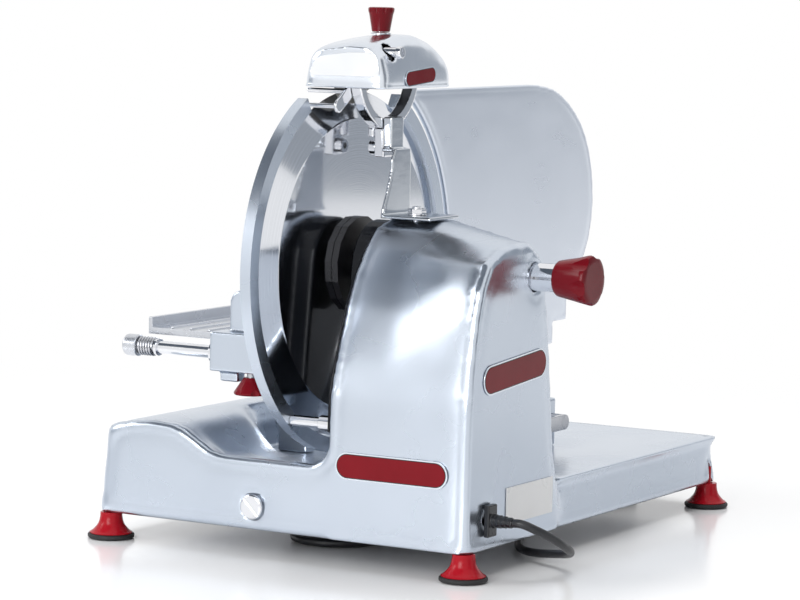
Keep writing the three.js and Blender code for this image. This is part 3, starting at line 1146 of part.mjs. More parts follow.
// A round tube along points, its rings turned from each step's own axes, closed at both ends
const tubeAlong = (points, radius, sides, sideways) => skin(points.map((point, i) => {
  const ahead = points[Math.min(i + 1, points.length - 1)].clone().sub(points[Math.max(i - 1,
    0)]).normalize();
  const across = new THREE.Vector3().crossVectors(ahead, sideways).normalize();
  const up = new THREE.Vector3().crossVectors(across, ahead).normalize().negate();
  return Array.from({ length: sides }, (_, k) => {
    const angle = (2 * Math.PI * k) / sides;
    return point.clone().addScaledVector(across, radius * Math.cos(angle))
      .addScaledVector(up, radius * Math.sin(angle)).toArray();
  });
}));
const leastSelfGap = (points, radius, skipShare) => {
  const skip = Math.ceil(points.length * skipShare);
  let least = Infinity;
  points.forEach((point, i) => {
    for (let j = i + skip; j < points.length; j += 1) least = Math.min(least, point.distanceTo(points[j]));
  });
  return least - radius * 2;
};

// Spring behind the feed rod's cap, wound as one wire
const makeSpring = () => {
  const steps = feedRod.curls * feedRod.curlSteps;
  const wind = feedRod.springRadius - feedRod.wire;
  const points = Array.from({ length: steps + 1 }, (_, i) => {
    const angle = (2 * Math.PI * i) / feedRod.curlSteps;
    return new THREE.Vector3(springLeft + feedRod.springLength * (i / steps),
      feedRod.y + wind * Math.cos(angle),
      feedRod.z + wind * Math.sin(angle));
  });
  const gap = leastSelfGap(points, feedRod.wire, feedRod.nextCurlShare / feedRod.curls);
  console.log('feed spring least gap', gap.toFixed(2));
  return tubeAlong(points, feedRod.wire, feedRod.sides, new THREE.Vector3(1, 0, 0));
};
place('feed_spring', makeSpring(), steel);

// Red knob that locks the carriage, moulded round its stud
const lockTop = endBlock.bottom - clearance - lockKnob.stemHeight;
const lockGrip = { ...lockKnob, length: lockKnob.height, tipRadius: lockKnob.topRadius };
const makeLockKnob = () => join(
  skin(gripStations(lockGrip, lockTop, -1).map(([z, radius]) => lobedCircle(
    radius, lockKnob.lobes, lockKnob.lobeDepth).map(([u, v]) => [lockKnob.x + u, lockKnob.y - v, z]))),
  rodZ(lockTop - lockKnob.height / 2, lockSocket - clearance, lockKnob.stemRadius, lockKnob.x, lockKnob.y),
);
place('lock_knob', asGeometry(makeLockKnob()), redPlastic);

// Strain relief in the tower's right wall
const inletSeat = tower.right + clearance;
const reliefEnd = inletSeat + inlet.length;
const makeInlet = () => join(
  slabX(roundedRectangle(inlet.y - inlet.plateWidth / 2, inlet.y + inlet.plateWidth / 2,
    inlet.z - inlet.plateHeight / 2, inlet.z + inlet.plateHeight / 2, inlet.plateDepth / 2),
  inletSeat, inletSeat + inlet.plateDepth),
  turnX([
    [inletSeat - inlet.neckLength, 0], [inletSeat - inlet.neckLength, inlet.neckRadius],
    [inletSeat, inlet.neckRadius], [inletSeat, inlet.rootRadius],
      [inletSeat + inlet.plateDepth, inlet.rootRadius],
    [reliefEnd, inlet.tipRadius], [reliefEnd, 0],
  ], inlet.y, inlet.z, smallSteps),
);
place('cord_strain_relief', asGeometry(makeInlet()), blackPlastic);

// Hank of cord tied under the base: loops spiral in on the lower layer and out again on the upper one
const cordZ = cord.radius + cord.lift;
const hankBack = hank.front + hank.run;
const hankPoint = (turn) => {
  const wound = Math.abs(turn - hank.layerLoops);
  const climb = THREE.MathUtils.smoothstep(turn, hank.layerLoops - hank.climbShare,
    hank.layerLoops + hank.climbShare);
  const radius = hank.bend + wound * hank.pitch;
  const z = mix(cordZ, cordZ + cord.radius * 2 + clearance * 3, climb);
  const arc = Math.PI * radius;
  const travelled = (turn % 1) * 2 * (hank.run + arc);
  const alongRun = (y) => (y - (hank.front + hankBack) / 2) / hank.run;
  const waist = (y) => 1 - hank.waistShare * Math.cos(Math.PI * alongRun(y)) ** 2;
  if (travelled < hank.run) {
    const y = hankBack - travelled;
    return new THREE.Vector3(hank.x + radius * waist(y), y, z);
  }
  if (travelled < hank.run + arc) {
    const angle = (travelled - hank.run) / radius;
    return new THREE.Vector3(hank.x + radius * Math.cos(angle), hank.front - radius * Math.sin(angle), z);
  }
  if (travelled < 2 * hank.run + arc) {
    const y = hank.front + travelled - hank.run - arc;
    return new THREE.Vector3(hank.x - radius * waist(y), y, z);
  }
  const angle = (travelled - 2 * hank.run - arc) / radius;
  return new THREE.Vector3(hank.x - radius * Math.cos(angle), hankBack + radius * Math.sin(angle), z);
};
const hankTurns = 2 * hank.layerLoops + hank.lastShare;
const straight = new THREE.Vector3(0, cord.radius * 2, 0);
const loopPoints = Array.from({ length: hankTurns * hank.steps + 1 }, (_, i) => hankPoint(i / hank.steps));
const hankPoints = [loopPoints[0].clone().add(straight), ...loopPoints,
  loopPoints.at(-1).clone().add(straight)];
const hankGap = leastSelfGap(hankPoints, cord.radius, hank.nextLoopShare / hankTurns);
console.log('cord hank least gap', hankGap.toFixed(2));
place('cord_hank', tubeAlong(hankPoints, cord.radius, hank.sides, new THREE.Vector3(0, 0, 1)), rubber);

// Free lead from the strain relief to the hank, and free tail from the hank to the plug
const smoothRoute = (points) => {
  const curve = new THREE.CatmullRomCurve3(points.map((p) => new THREE.Vector3(...p)), false,
    'centripetal');
  const steps = Math.ceil(curve.getLength() / (cord.radius * 2 * cord.stepShare));
  const spaced = curve.getSpacedPoints(steps).map((p) => p.setZ(Math.max(p.z, cordZ)));
  return [spaced[0], curve.points[1], ...spaced.slice(1, -1), curve.points.at(-2), spaced.at(-1)];
};
const [hankStart, hankEnd] = [hankPoints[0], hankPoints.at(-1)];
const plugMiddle = cord.lift + plug.bodyHeight / 2;
const plugNeck = plug.y - plug.bodyLength / 2 - plug.neckLength - clearance;
const leadRoute = [
  [reliefEnd + clearance, inlet.y, inlet.z], [reliefEnd + straight.y, inlet.y, inlet.z],
  [222, -70, 43], [230, -56, 35], [233, -39, 26], [230, -22, 19], [220, -7, 14], [205, 3, 11], [184, 12, 8],
  [156, 34, 5], [132, 72, 3.75], [112, 116, 3.75], [93, 150, 3.75], [68, 171, 3.75], [43, 162, 3.75],
    [31, 140, 3.75],
  [hankStart.x, hankStart.y + straight.y, hankStart.z], [hankStart.x, hankStart.y + clearance, hankStart.z],
];
const tailRoute = [
  [hankEnd.x, hankEnd.y + clearance, hankEnd.z], [hankEnd.x, hankEnd.y + straight.y, hankEnd.z],
  [-59, 60, 11.8], [-59, 110, 10], [-58, 160, 5.5], [-52, 210, 3.75], [-34, 270, 3.75], [-4, 330, 3.75],
  [20, 380, 4], [30, 406, 7], [plug.x, plugNeck - straight.y, plugMiddle], [plug.x, plugNeck, plugMiddle],
];
const makeCord = (route) => tubeAlong(smoothRoute(route), cord.radius, cord.sides,
  new THREE.Vector3(0, 0, 1));
place('cord_lead', makeCord(leadRoute), rubber);
place('cord_tail', makeCord(tailRoute), rubber);

// Mains plug lying on the table behind the base
const makePlug = () => {
  const half = plug.bodyWidth / 2;
  const front = plug.y - plug.bodyLength / 2;
  const back = plug.y + plug.bodyLength / 2;
  const body = slabY(roundedRectangle(plug.x - half, plug.x + half, cord.lift, cord.lift + plug.bodyHeight,
    plug.round),
    front, back, smallSteps / 2);
  const neck = rodY(front - plug.neckLength, front + overrun, plug.neckRadius, plug.x, plugMiddle);
  const pins = [-1, 1].map((side) => rodY(
    back - overrun, back + plug.pinLength, plug.pinRadius, plug.x + (side * plug.pinSpacing) / 2,
      plugMiddle));
  return join(body, neck, ...pins);
};
place('mains_plug', asGeometry(makePlug()), blackPlastic);

// Stand the whole model on the table, centred over the slicer's own footprint
const cordNames = ['cord_strain_relief', 'cord_lead', 'cord_hank', 'cord_tail', 'mains_plug'];
const extent = new THREE.Box3();
for (const mesh of model.children) {
  if (!cordNames.includes(mesh.name)) extent.expandByObject(mesh);
}
const middle = extent.getCenter(new THREE.Vector3());
model.position.set(-middle.x, -middle.y, -extent.min.z);

export default model;
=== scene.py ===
import math

import bpy
import numpy
from mathutils import Matrix, Vector


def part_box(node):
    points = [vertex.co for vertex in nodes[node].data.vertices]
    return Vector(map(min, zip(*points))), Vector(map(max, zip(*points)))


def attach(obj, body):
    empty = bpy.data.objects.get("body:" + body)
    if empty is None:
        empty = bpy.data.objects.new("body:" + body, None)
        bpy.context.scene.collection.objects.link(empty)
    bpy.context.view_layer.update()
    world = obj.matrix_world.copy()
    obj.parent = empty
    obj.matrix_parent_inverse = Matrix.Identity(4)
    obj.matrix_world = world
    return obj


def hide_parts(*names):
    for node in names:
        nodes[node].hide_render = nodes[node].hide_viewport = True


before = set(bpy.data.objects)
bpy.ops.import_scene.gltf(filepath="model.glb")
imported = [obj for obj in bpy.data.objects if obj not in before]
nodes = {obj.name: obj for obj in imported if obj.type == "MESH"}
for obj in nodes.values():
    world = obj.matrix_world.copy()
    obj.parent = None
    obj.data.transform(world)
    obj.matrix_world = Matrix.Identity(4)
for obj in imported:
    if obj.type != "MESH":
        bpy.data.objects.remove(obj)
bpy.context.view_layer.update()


def box(node):
    """A node's lowest and highest corner, and its middle."""
    low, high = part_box(node)
    return low, high, (low + high) / 2


def new_object(name, data):
    """An object with this data, in the scene."""
    made = bpy.data.objects.new(name, data)
    bpy.context.scene.collection.objects.link(made)
    return made


# Camera: a long lens on a stand in front of the machine's right front corner, a little above the table,
# leaning by about a degree. Places are measured from the guard ring's flat and the blade's axis.
blade_middle = box("blade")[2]
layout = Vector((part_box("guard_ring")[1].x, blade_middle.y, 0))
camera_place = layout + Vector((1.45560, -2.45619, 0.49912))
camera_turn, camera_pitch, camera_roll = (math.radians(angle) for angle in (29.8084, 5.7037, 1.219))
lens_mm, sensor_mm, far_clip = 148.5, 36, 200
camera_data = bpy.data.cameras.new("camera")
camera_data.lens = lens_mm
camera_data.sensor_width = sensor_mm
camera_data.clip_end = far_clip
camera = new_object("camera", camera_data)
camera.matrix_world = (
    Matrix.Translation(camera_place)
    @ Matrix.Rotation(camera_turn, 4, "Z")
    @ Matrix.Rotation(math.pi / 2 - camera_pitch, 4, "X")
    @ Matrix.Rotation(camera_roll, 4, "Z")
)
bpy.context.scene.camera = camera

# Mains cord: black rubber flex out of the right wall, round to a tied hank under the base, and on to a
# plug behind it.
flex_radius, flex_lift = 0.0036, 0.0004
rest_height = flex_radius + flex_lift
relief_low, relief_high, relief_middle = box("cord_strain_relief")
plug_low, plug_high, plug_middle = box("mains_plug")
hank_middle, hank_front, hank_run = -0.012, 0.002, 0.116
hank_bend, hank_pitch, hank_waist_share = 0.022, 0.0098, 0.2
hank_layer_turns, hank_turns, hank_turn_points, hank_climb = 2, 4.5, 24, 0.25
hank_layer_rise = 2 * flex_radius + 0.0009


def hank_point(turn):
    """The cord's middle after so many turns of the hank, in on the lower layer and out on the upper one."""
    wound = abs(turn - hank_layer_turns)
    share = min(1, max(0, (turn - hank_layer_turns + hank_climb) / (2 * hank_climb)))
    z = rest_height + hank_layer_rise * share * share * (3 - 2 * share)
    radius = hank_bend + wound * hank_pitch
    arc = math.pi * radius
    gone = (turn % 1) * 2 * (hank_run + arc)
    back = hank_front + hank_run
    half = hank_front + hank_run / 2

    def width(y):
        return radius * (1 - hank_waist_share * math.cos(math.pi * (y - half) / hank_run) ** 2)

    if gone < hank_run:
        return Vector((hank_middle + width(back - gone), back - gone, z))
    if gone < hank_run + arc:
        angle = (gone - hank_run) / radius
        return Vector((hank_middle + radius * math.cos(angle), hank_front - radius * math.sin(angle), z))
    if gone < 2 * hank_run + arc:
        y = hank_front + gone - hank_run - arc
        return Vector((hank_middle - width(y), y, z))
    angle = (gone - 2 * hank_run - arc) / radius
    return Vector((hank_middle - radius * math.cos(angle), back + radius * math.sin(angle), z))


lead_points = [
    (0.2220, -0.070, 0.0430), (0.2300, -0.056, 0.0350), (0.2330, -0.039, 0.0260), (0.2300, -0.022, 0.0190),
    (0.2200, -0.007, 0.0140), (0.2050, 0.003, 0.0110), (0.1840, 0.012, 0.0080), (0.1560, 0.034, 0.0050),
    (0.1320, 0.072, 0.0038), (0.1120, 0.116, 0.0038), (0.0930, 0.150, 0.0038), (0.0680, 0.171, 0.0038),
    (0.0430, 0.162, 0.0038), (0.0310, 0.140, 0.0038),
]
tail_points = [
    (-0.0590, 0.060, 0.0118), (-0.0590, 0.110, 0.0100), (-0.0580, 0.160, 0.0055), (-0.0520, 0.210, 0.0038),
    (-0.0340, 0.270, 0.0038), (-0.0040, 0.330, 0.0038), (0.0200, 0.380, 0.0040), (0.0300, 0.406, 0.0070),
]
hank_points = [hank_point(i / hank_turn_points) for i in range(int(hank_turns * hank_turn_points) + 1)]
cord_exit = Vector((relief_high.x + 0.0003, relief_middle.y, relief_middle.z))
cord_end = Vector((plug_middle.x, plug_low.y - 0.0003, plug_low.z + 0.015))
route = [
    cord_exit, cord_exit + Vector((2 * flex_radius, 0, 0)), *(Vector(p) + layout for p in lead_points),
    *(p + layout for p in hank_points), *(Vector(p) + layout for p in tail_points),
    cord_end - Vector((0, 2 * flex_radius, 0)), cord_end,
]
for point in route:
    point.z = max(point.z, rest_height)


def add_node(tree, kind, sockets, **settings):
    """A shader node with these settings, each socket given a plain value or linked to another's output."""
    made = tree.nodes.new("ShaderNode" + kind)
    for key, value in settings.items():
        setattr(made, key, value)
    for key, value in sockets.items():
        if isinstance(value, bpy.types.NodeSocket):
            tree.links.new(value, made.inputs[key])
        else:
            made.inputs[key].default_value = value
    return made


finish_slots = {}


def new_material(name, colour, roughness, metallic=0.0, slot=None):
    """A material whose one shader has these plain values, its slot noted in finish_slots, which is its own
    name if no other is given. Gives the material, its tree and its shader."""
    material = bpy.data.materials.new(name)
    finish_slots[material] = slot or name
    material.use_nodes = True
    shader = material.node_tree.nodes["Principled BSDF"]
    shader.inputs["Base Color"].default_value = (*colour, 1)
    shader.inputs["Roughness"].default_value = roughness
    shader.inputs["Metallic"].default_value = metallic
    return material, material.node_tree, shader


def vary_roughness(tree, pattern, low, high):
    """Lets a pattern move the roughness between two values."""
    spread = add_node(tree, "MapRange", {
        "Value": pattern, "From Min": 0.3, "From Max": 0.7, "To Min": low, "To Max": high})
    tree.links.new(spread.outputs["Result"], tree.nodes["Principled BSDF"].inputs["Roughness"])


def vary_colour(tree, pattern, dark, light):
    """Lets a pattern move the colour between two shades."""
    ramp = add_node(tree, "ValToRGB", {"Fac": pattern})
    for stop, position, colour in zip(ramp.color_ramp.elements, (0.3, 0.7), (dark, light)):
        stop.position = position
        stop.color = (*colour, 1)
    tree.links.new(ramp.outputs["Color"], tree.nodes["Principled BSDF"].inputs["Base Color"])


def add_bump(tree, pattern, strength, depth):
    """Presses a pattern into the surface, so many metres deep."""
    bump = add_node(tree, "Bump", {"Height": pattern, "Strength": strength, "Distance": depth})
    tree.links.new(bump.outputs["Normal"], tree.nodes["Principled BSDF"].inputs["Normal"])


def new_finish(name, colour, roughness, rough, shades, metallic=0.0, grain=None, ior=None, brushed=(1, 1, 1),
               slot=None):
    """A finish with fine patterns on the piece's own coordinates, each given as a noise's scale per metre and
    its detail, and then the low and high roughness, the dark and light shade, or the grain's strength and
    depth."""
    material, tree, shader = new_material(name, colour, roughness, metallic, slot)
    place = add_node(tree, "TexCoord", {}).outputs["Object"]

    def noise(scale, detail, stretch=(1, 1, 1)):
        mapping = add_node(tree, "Mapping", {"Vector": place, "Scale": stretch})
        return add_node(tree, "TexNoise", {
            "Vector": mapping.outputs["Vector"], "Scale": scale, "Detail": detail}).outputs["Fac"]

    vary_roughness(tree, noise(*rough[:2], brushed), *rough[2:])
    vary_colour(tree, noise(*shades[:2]), *shades[2:])
    if grain:
        add_bump(tree, noise(*grain[:2]), *grain[2:])
    if ior:
        shader.inputs["IOR"].default_value = ior
    return material


flex_rubber = new_finish("flex_rubber", (0.016, 0.017, 0.02), 0.42, rough=(90, 3, 0.34, 0.5),
    shades=(35, 3, (0.012, 0.013, 0.016), (0.022, 0.023, 0.027)), grain=(2600, 2, 0.25, 0.0001),
    slot="black_rubber")


def round_curve(name, radius, roundness, kind):
    """A round curve with closed ends, and its one line, whose points are still to come."""
    curve = bpy.data.curves.new(name, "CURVE")
    curve.dimensions = "3D"
    curve.bevel_depth = radius
    curve.bevel_resolution = roundness
    curve.use_fill_caps = True
    return curve, curve.splines.new(kind)


flex_curve, flex_line = round_curve("mains_flex", flex_radius, 5, "BEZIER")
flex_curve.resolution_u = 6
flex_line.bezier_points.add(len(route) - 1)
for knot, point in zip(flex_line.bezier_points, route):
    knot.co = point
    knot.handle_left_type = knot.handle_right_type = "AUTO"
flex_curve.materials.append(flex_rubber)
mains_flex = new_object("mains_flex", flex_curve)
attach(mains_flex, "body")
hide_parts("cord_lead", "cord_hank", "cord_tail")


def only(piece):
    """Selects one object and nothing else."""
    bpy.ops.object.select_all(action="DESELECT")
    piece.select_set(True)
    bpy.context.view_layer.objects.active = piece


def edit_all(piece):
    """Opens one object's mesh with all of it selected."""
    only(piece)
    bpy.ops.object.mode_set(mode="EDIT")
    bpy.ops.mesh.select_all(action="SELECT")


def finish_piece(piece, name, finish, replaced=(), body="body", smooth=35, slot=None):
    """Puts a piece's place in its mesh, smooths its shading, dresses it and hangs it on its body."""
    only(piece)
    bpy.ops.object.transform_apply(location=True, rotation=True, scale=True)
    if smooth:
        bpy.ops.object.shade_smooth_by_angle(angle=math.radians(smooth))
    if 0 < smooth < 90:
        apply_modifier(piece, "WEIGHTED_NORMAL", keep_sharp=True)
    piece.name = name
    piece.data.name = name
    piece.data.materials.clear()
    piece.data.materials.append(finish)
    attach(piece, body)
    slot = slot or finish_slots[finish]
    if replaced:
        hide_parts(*replaced)
    return piece


def apply_modifier(piece, kind, **settings):
    """Adds one modifier with these settings and applies it."""
    only(piece)
    modifier = piece.modifiers.new(kind.lower(), kind)
    for key, value in settings.items():
        setattr(modifier, key, value)
    bpy.ops.object.modifier_apply(modifier=modifier.name)
    return piece


def round_edges(piece, width, segments=3, angle=32):
    """Rounds every edge that is sharper than the angle."""
    return apply_modifier(piece, "BEVEL", width=width, segments=segments, limit_method="ANGLE",
                          angle_limit=math.radians(angle), harden_normals=False)


def turned(at, towards, stations, sides=80, bore=False):
    """A solid turned on a lathe. Each station is (distance from the point, radius), and a bored solid's
    stations go round its wall and end on the first."""
    towards = Vector(towards)
    tilt = Vector((0, 0, 1)).rotation_difference(towards).to_euler()
    (distance, radius), *others = stations
    bpy.ops.mesh.primitive_circle_add(vertices=sides, radius=radius, fill_type="NOTHING" if bore else "NGON",
                                      location=Vector(at) + towards * distance, rotation=tilt)
    piece = bpy.context.object
    edit_all(piece)
    for next_distance, next_radius in others:
        bpy.ops.mesh.extrude_region_move(
            TRANSFORM_OT_translate={"value": towards * (next_distance - distance)})
        share = next_radius / radius
        bpy.ops.transform.resize(value=(share,) * 3, center_override=Vector(at) + towards * next_distance)
        distance, radius = next_distance, next_radius
    bpy.ops.mesh.select_all(action="SELECT")
    bpy.ops.mesh.remove_doubles(threshold=1e-6)
    bpy.ops.mesh.normals_make_consistent(inside=False)
    bpy.ops.object.mode_set(mode="OBJECT")
    return piece


def block(low, high):
    """A plain block between two corners, to be shaped further."""
    low, high = Vector(low), Vector(high)
    bpy.ops.mesh.primitive_cube_add(size=1, location=(low + high) / 2, scale=high - low)
    bpy.ops.object.transform_apply(location=False, rotation=False, scale=True)
    return bpy.context.object


def tapered(piece, towards, shares, centre):
    """Draws in the end of a block that lies in one direction, about a point."""
    only(piece)
    bpy.ops.object.mode_set(mode="EDIT")
    bpy.ops.mesh.select_all(action="DESELECT")
    bpy.ops.object.mode_set(mode="OBJECT")
    for vertex in piece.data.vertices:
        vertex.select = vertex.co.dot(Vector(towards)) > 0
    bpy.ops.object.mode_set(mode="EDIT")
    bpy.ops.transform.resize(value=shares, center_override=centre)
    bpy.ops.object.mode_set(mode="OBJECT")
    return piece


def joined(first, *others):
    """Several meshes made one object, their solids kept apart."""
    only(first)
    for other in others:
        other.select_set(True)
    bpy.ops.object.join()
    return bpy.context.object


def carved(first, *others, operation="DIFFERENCE"):
    """Cuts solids out of the first one, or fuses them with it."""
    bpy.context.view_layer.update()
    for other in others:
        apply_modifier(first, "BOOLEAN", operation=operation, object=other, solver="EXACT")
        bpy.data.objects.remove(other)
    return first


# Strain relief and plug: moulded black plastic, the relief with grooves so that it bends with the flex.
moulded_black = new_finish("moulded_black", (0.014, 0.015, 0.018), 0.2, rough=(60, 3, 0.16, 0.28),
    shades=(20, 3, (0.011, 0.012, 0.015), (0.018, 0.019, 0.023)), grain=(1800, 2, 0.12, 0.0001),
    slot="black_plastic")
chrome_plate = new_finish("chrome_plate", (0.78, 0.79, 0.82), 0.07, rough=(45, 3, 0.045, 0.11),
    shades=(18, 3, (0.74, 0.75, 0.78), (0.82, 0.83, 0.86)), metallic=1, slot="polished_chrome")

relief_start, relief_plate_depth, relief_groove = relief_low.x + 0.012, 0.005, 0.0007
relief_root, relief_tip, relief_rings = 0.0064, 0.0045, 4
relief_plate = round_edges(block((relief_start, relief_low.y, relief_low.z),
                                 (relief_start + relief_plate_depth, relief_high.y, relief_high.z)), 0.0012)
ring_length = (relief_high.x - relief_start - relief_plate_depth) / relief_rings
relief_stations = [(0.0005, relief_root), (relief_plate_depth, relief_root)]
for ring_index in range(relief_rings):
    start = relief_plate_depth + ring_index * ring_length
    radius = relief_root + (relief_tip - relief_root) * (ring_index + 1) / relief_rings
    relief_stations += [(start + ring_length * 0.12, radius), (start + ring_length * 0.7, radius),
                        (start + ring_length * 0.74, radius - relief_groove),
                        (start + ring_length * 0.98, radius - relief_groove)]
relief_taper = turned((relief_start, relief_middle.y, relief_middle.z), (1, 0, 0), relief_stations, 40)
round_edges(relief_taper, 0.0002)
finish_piece(joined(relief_plate, relief_taper), "flex_relief", moulded_black, ["cord_strain_relief"])

plug_neck, plug_pin_length, plug_pin_radius, plug_pin_gap = 0.016, 0.019, 0.0024, 0.019
plug_front, plug_back = plug_low.y + plug_neck, plug_high.y - plug_pin_length
plug_body = tapered(block((plug_low.x, plug_front, plug_low.z), (plug_high.x, plug_back, plug_high.z)),
                    (0, -1, 0), (0.62, 1, 0.72), (plug_middle.x, plug_front, plug_middle.z))
round_edges(plug_body, 0.0058, 6)
plug_sleeve = turned((plug_middle.x, plug_low.y, plug_middle.z), (0, 1, 0), [
    (0, 0.0046), (0.004, 0.005), (0.0043, 0.0043), (0.006, 0.0043), (0.0063, 0.0053), (0.010, 0.0056),
    (0.0103, 0.0048), (0.012, 0.0048), (0.0123, 0.006), (0.020, 0.0064)], 40)
plug_body = finish_piece(joined(plug_body, plug_sleeve), "plug_body", moulded_black, ["mains_plug"])
plug_pins = joined(*(round_edges(turned(
    (plug_middle.x + side * plug_pin_gap / 2, plug_back - 0.004, plug_middle.z), (0, 1, 0),
    [(0, plug_pin_radius), (plug_pin_length + 0.004, plug_pin_radius)], 32), 0.001) for side in (-1, 1)))
finish_piece(plug_pins, "plug_pins", chrome_plate)

tie_half_width, tie_length, tie_thickness, tie_floor = 0.0415, 0.014, 0.0009, 0.00012
tie_y = layout.y + hank_front + hank_run / 2
tie_x = layout.x + hank_middle
tie_top = rest_height + hank_layer_rise + flex_radius + 0.0002
hank_tie = block((tie_x - tie_half_width - tie_thickness, tie_y - tie_length / 2, 0.00001),
                 (tie_x + tie_half_width + tie_thickness, tie_y + tie_length / 2,
                  min(tie_top + tie_thickness, 0.0163)))
hank_room = block((tie_x - tie_half_width, tie_y - tie_length, tie_floor),
                  (tie_x + tie_half_width, tie_y + tie_length, tie_top))
round_edges(carved(hank_tie, hank_room), 0.00004, 1)
finish_piece(hank_tie, "hank_tie", flex_rubber)


# Studio: a white surround, a wide glossy white table, soft lamps in front and above, and grey cards at
# the sides that give the metal something to mirror.
world_ambient = 0.42


def white_to_the_eye(tree):
    """White where the camera, gloss or glass looks, and the ambient level for the rest."""
    path = add_node(tree, "LightPath", {}).outputs
    seen = path["Is Camera Ray"]
    for ray in ("Is Glossy Ray", "Is Transmission Ray"):
        seen = add_node(tree, "Math", {0: seen, 1: path[ray]}, operation="ADD",
                        use_clamp=True).outputs["Value"]
    return add_node(tree, "MapRange", {"Value": seen, "To Min": world_ambient}).outputs["Result"]


world = bpy.data.worlds.new("surround")
world.use_nodes = True
world_glow = world.node_tree.nodes["Background"]
world_glow.inputs["Color"].default_value = (1, 1, 1, 1)
world.node_tree.links.new(white_to_the_eye(world.node_tree), world_glow.inputs["Strength"])
bpy.context.scene.world = world
bpy.context.scene.view_settings.view_transform = "Standard"

floor_radius, floor_drop, floor_fade_from, floor_fade_to = 60, 0.0004, 0.55, 1.25
bpy.ops.mesh.primitive_circle_add(vertices=96, radius=floor_radius, fill_type="NGON",
                                  location=(0, 0, -floor_drop))
floor = bpy.context.object
floor.name = "table_top"
floor_gloss, floor_tree, floor_shader = new_material("white_table", (0.96, 0.963, 0.97), 0.16)
floor_far = add_node(floor_tree, "VectorMath", {
    0: add_node(floor_tree, "TexCoord", {}).outputs["Object"]}, operation="LENGTH")
floor_fade = add_node(floor_tree, "MapRange", {
    "Value": floor_far.outputs["Value"], "From Min": floor_fade_from, "From Max": floor_fade_to},
    interpolation_type="SMOOTHSTEP")
floor_white = add_node(floor_tree, "Emission", {"Strength": white_to_the_eye(floor_tree)})
floor_mix = add_node(floor_tree, "MixShader", {
    0: floor_fade.outputs["Result"], 1: floor_shader.outputs["BSDF"], 2: floor_white.outputs["Emission"]})
floor_tree.links.new(floor_mix.outputs["Shader"], floor_tree.nodes["Material Output"].inputs["Surface"])
floor.data.materials.append(floor_gloss)

for lamp_name, lamp_place, lamp_size, lamp_power, lamp_glossy in (
    ("front_lamp", (0.0, -2.7, 1.05), 1.3, 40, True), ("left_lamp", (-2.2, -1.6, 1.6), 1.3, 24, True),
    ("top_lamp", (0.1, 0.5, 2.8), 2.2, 48, False),
):
    lamp_data = bpy.data.lights.new(lamp_name, "AREA")
    lamp_data.size = lamp_size
    lamp_data.energy = lamp_power
    lamp = new_object(lamp_name, lamp_data)
    lamp.location = lamp_place
    lamp.rotation_euler = (Vector(lamp_place) - Vector((0, 0, 0.15))).to_track_quat("Z", "Y").to_euler()
    lamp.visible_glossy = lamp_glossy


def on_circle(turn, reach, height):
    """A place so many degrees round the machine, this far from its middle."""
    return reach * math.cos(math.radians(turn)), reach * math.sin(math.radians(turn)), height


for card_name, card_place, card_width, card_height, card_shade in (
    ("right_card", on_circle(-8, 3.0, 1.18), 1.5, 2.4, (0.16, 0.18, 0.21)),
    ("back_right_card", on_circle(48, 3.0, 1.28), 2.4, 2.6, (0.36, 0.39, 0.43)),
    ("left_card", on_circle(212, 3.0, 0.33), 1.8, 0.7, (0.40, 0.44, 0.50)),
    ("high_card", (-0.75, -1.6, 2.2), 3.2, 2.2, (0.10, 0.12, 0.15)),
):
    bpy.ops.mesh.primitive_plane_add(size=1, location=card_place)
    card = bpy.context.object
    card.name = card_name
    card.scale = (card_width, card_height, 1)
    card.rotation_euler = (Vector((0, 0, 0.2)) - Vector(card_place)).to_track_quat("Z", "Y").to_euler()
    card_paint = bpy.data.materials.new(card_name)
    card_paint.use_nodes = True
    card_tree = card_paint.node_tree
    card_tree.nodes.clear()
    card_glow = add_node(card_tree, "Emission", {"Color": (*card_shade, 1), "Strength": 1})
    add_node(card_tree, "OutputMaterial", {"Surface": card_glow.outputs["Emission"]})
    card.data.materials.append(card_paint)
    card.visible_camera = card.visible_shadow = card.visible_diffuse = False


def solid_copy(node):
    """A node's solid as a new mesh, its loose triangles merged into one closed skin."""
    piece = new_object(node + "_copy", nodes[node].data.copy())
    edit_all(piece)
    bpy.ops.mesh.remove_doubles(threshold=2e-6)
    bpy.ops.object.mode_set(mode="OBJECT")
    return piece


def softened(node, grain, passes):
    """A node's solid as a casting is: its skin in small even faces, relaxed so many times."""
    piece = apply_modifier(solid_copy(node), "REMESH", mode="VOXEL", voxel_size=grain)
    return apply_modifier(piece, "SMOOTH", factor=0.5, iterations=passes)


def even_out(piece, passes, free, fixed):
    """Relaxes the broad faces of a fine skin and leaves its edges: a point that would move further than the
    fixed distance stays, and one that would move less than the free distance goes all the way."""
    before, after = (numpy.empty(len(piece.data.vertices) * 3) for _ in range(2))
    piece.data.vertices.foreach_get("co", before)
    apply_modifier(piece, "SMOOTH", factor=0.5, iterations=passes)
    piece.data.vertices.foreach_get("co", after)
    step = (after - before).reshape(-1, 3)
    share = numpy.clip((fixed - numpy.linalg.norm(step, axis=1)) / (fixed - free), 0, 1)
    share = share * share * (3 - 2 * share)
    piece.data.vertices.foreach_set("co", (before.reshape(-1, 3) + step * share[:, None]).ravel())
    piece.data.update()
    return piece


def dress(node, finish):
    """Gives a CAD node its finish."""
    for material_slot in nodes[node].material_slots:
        material_slot.material = finish


def at(x, y, z):
    """A place measured from the guard ring's flat, the blade's axis and the table top."""
    return Vector((x, y, z)) + layout


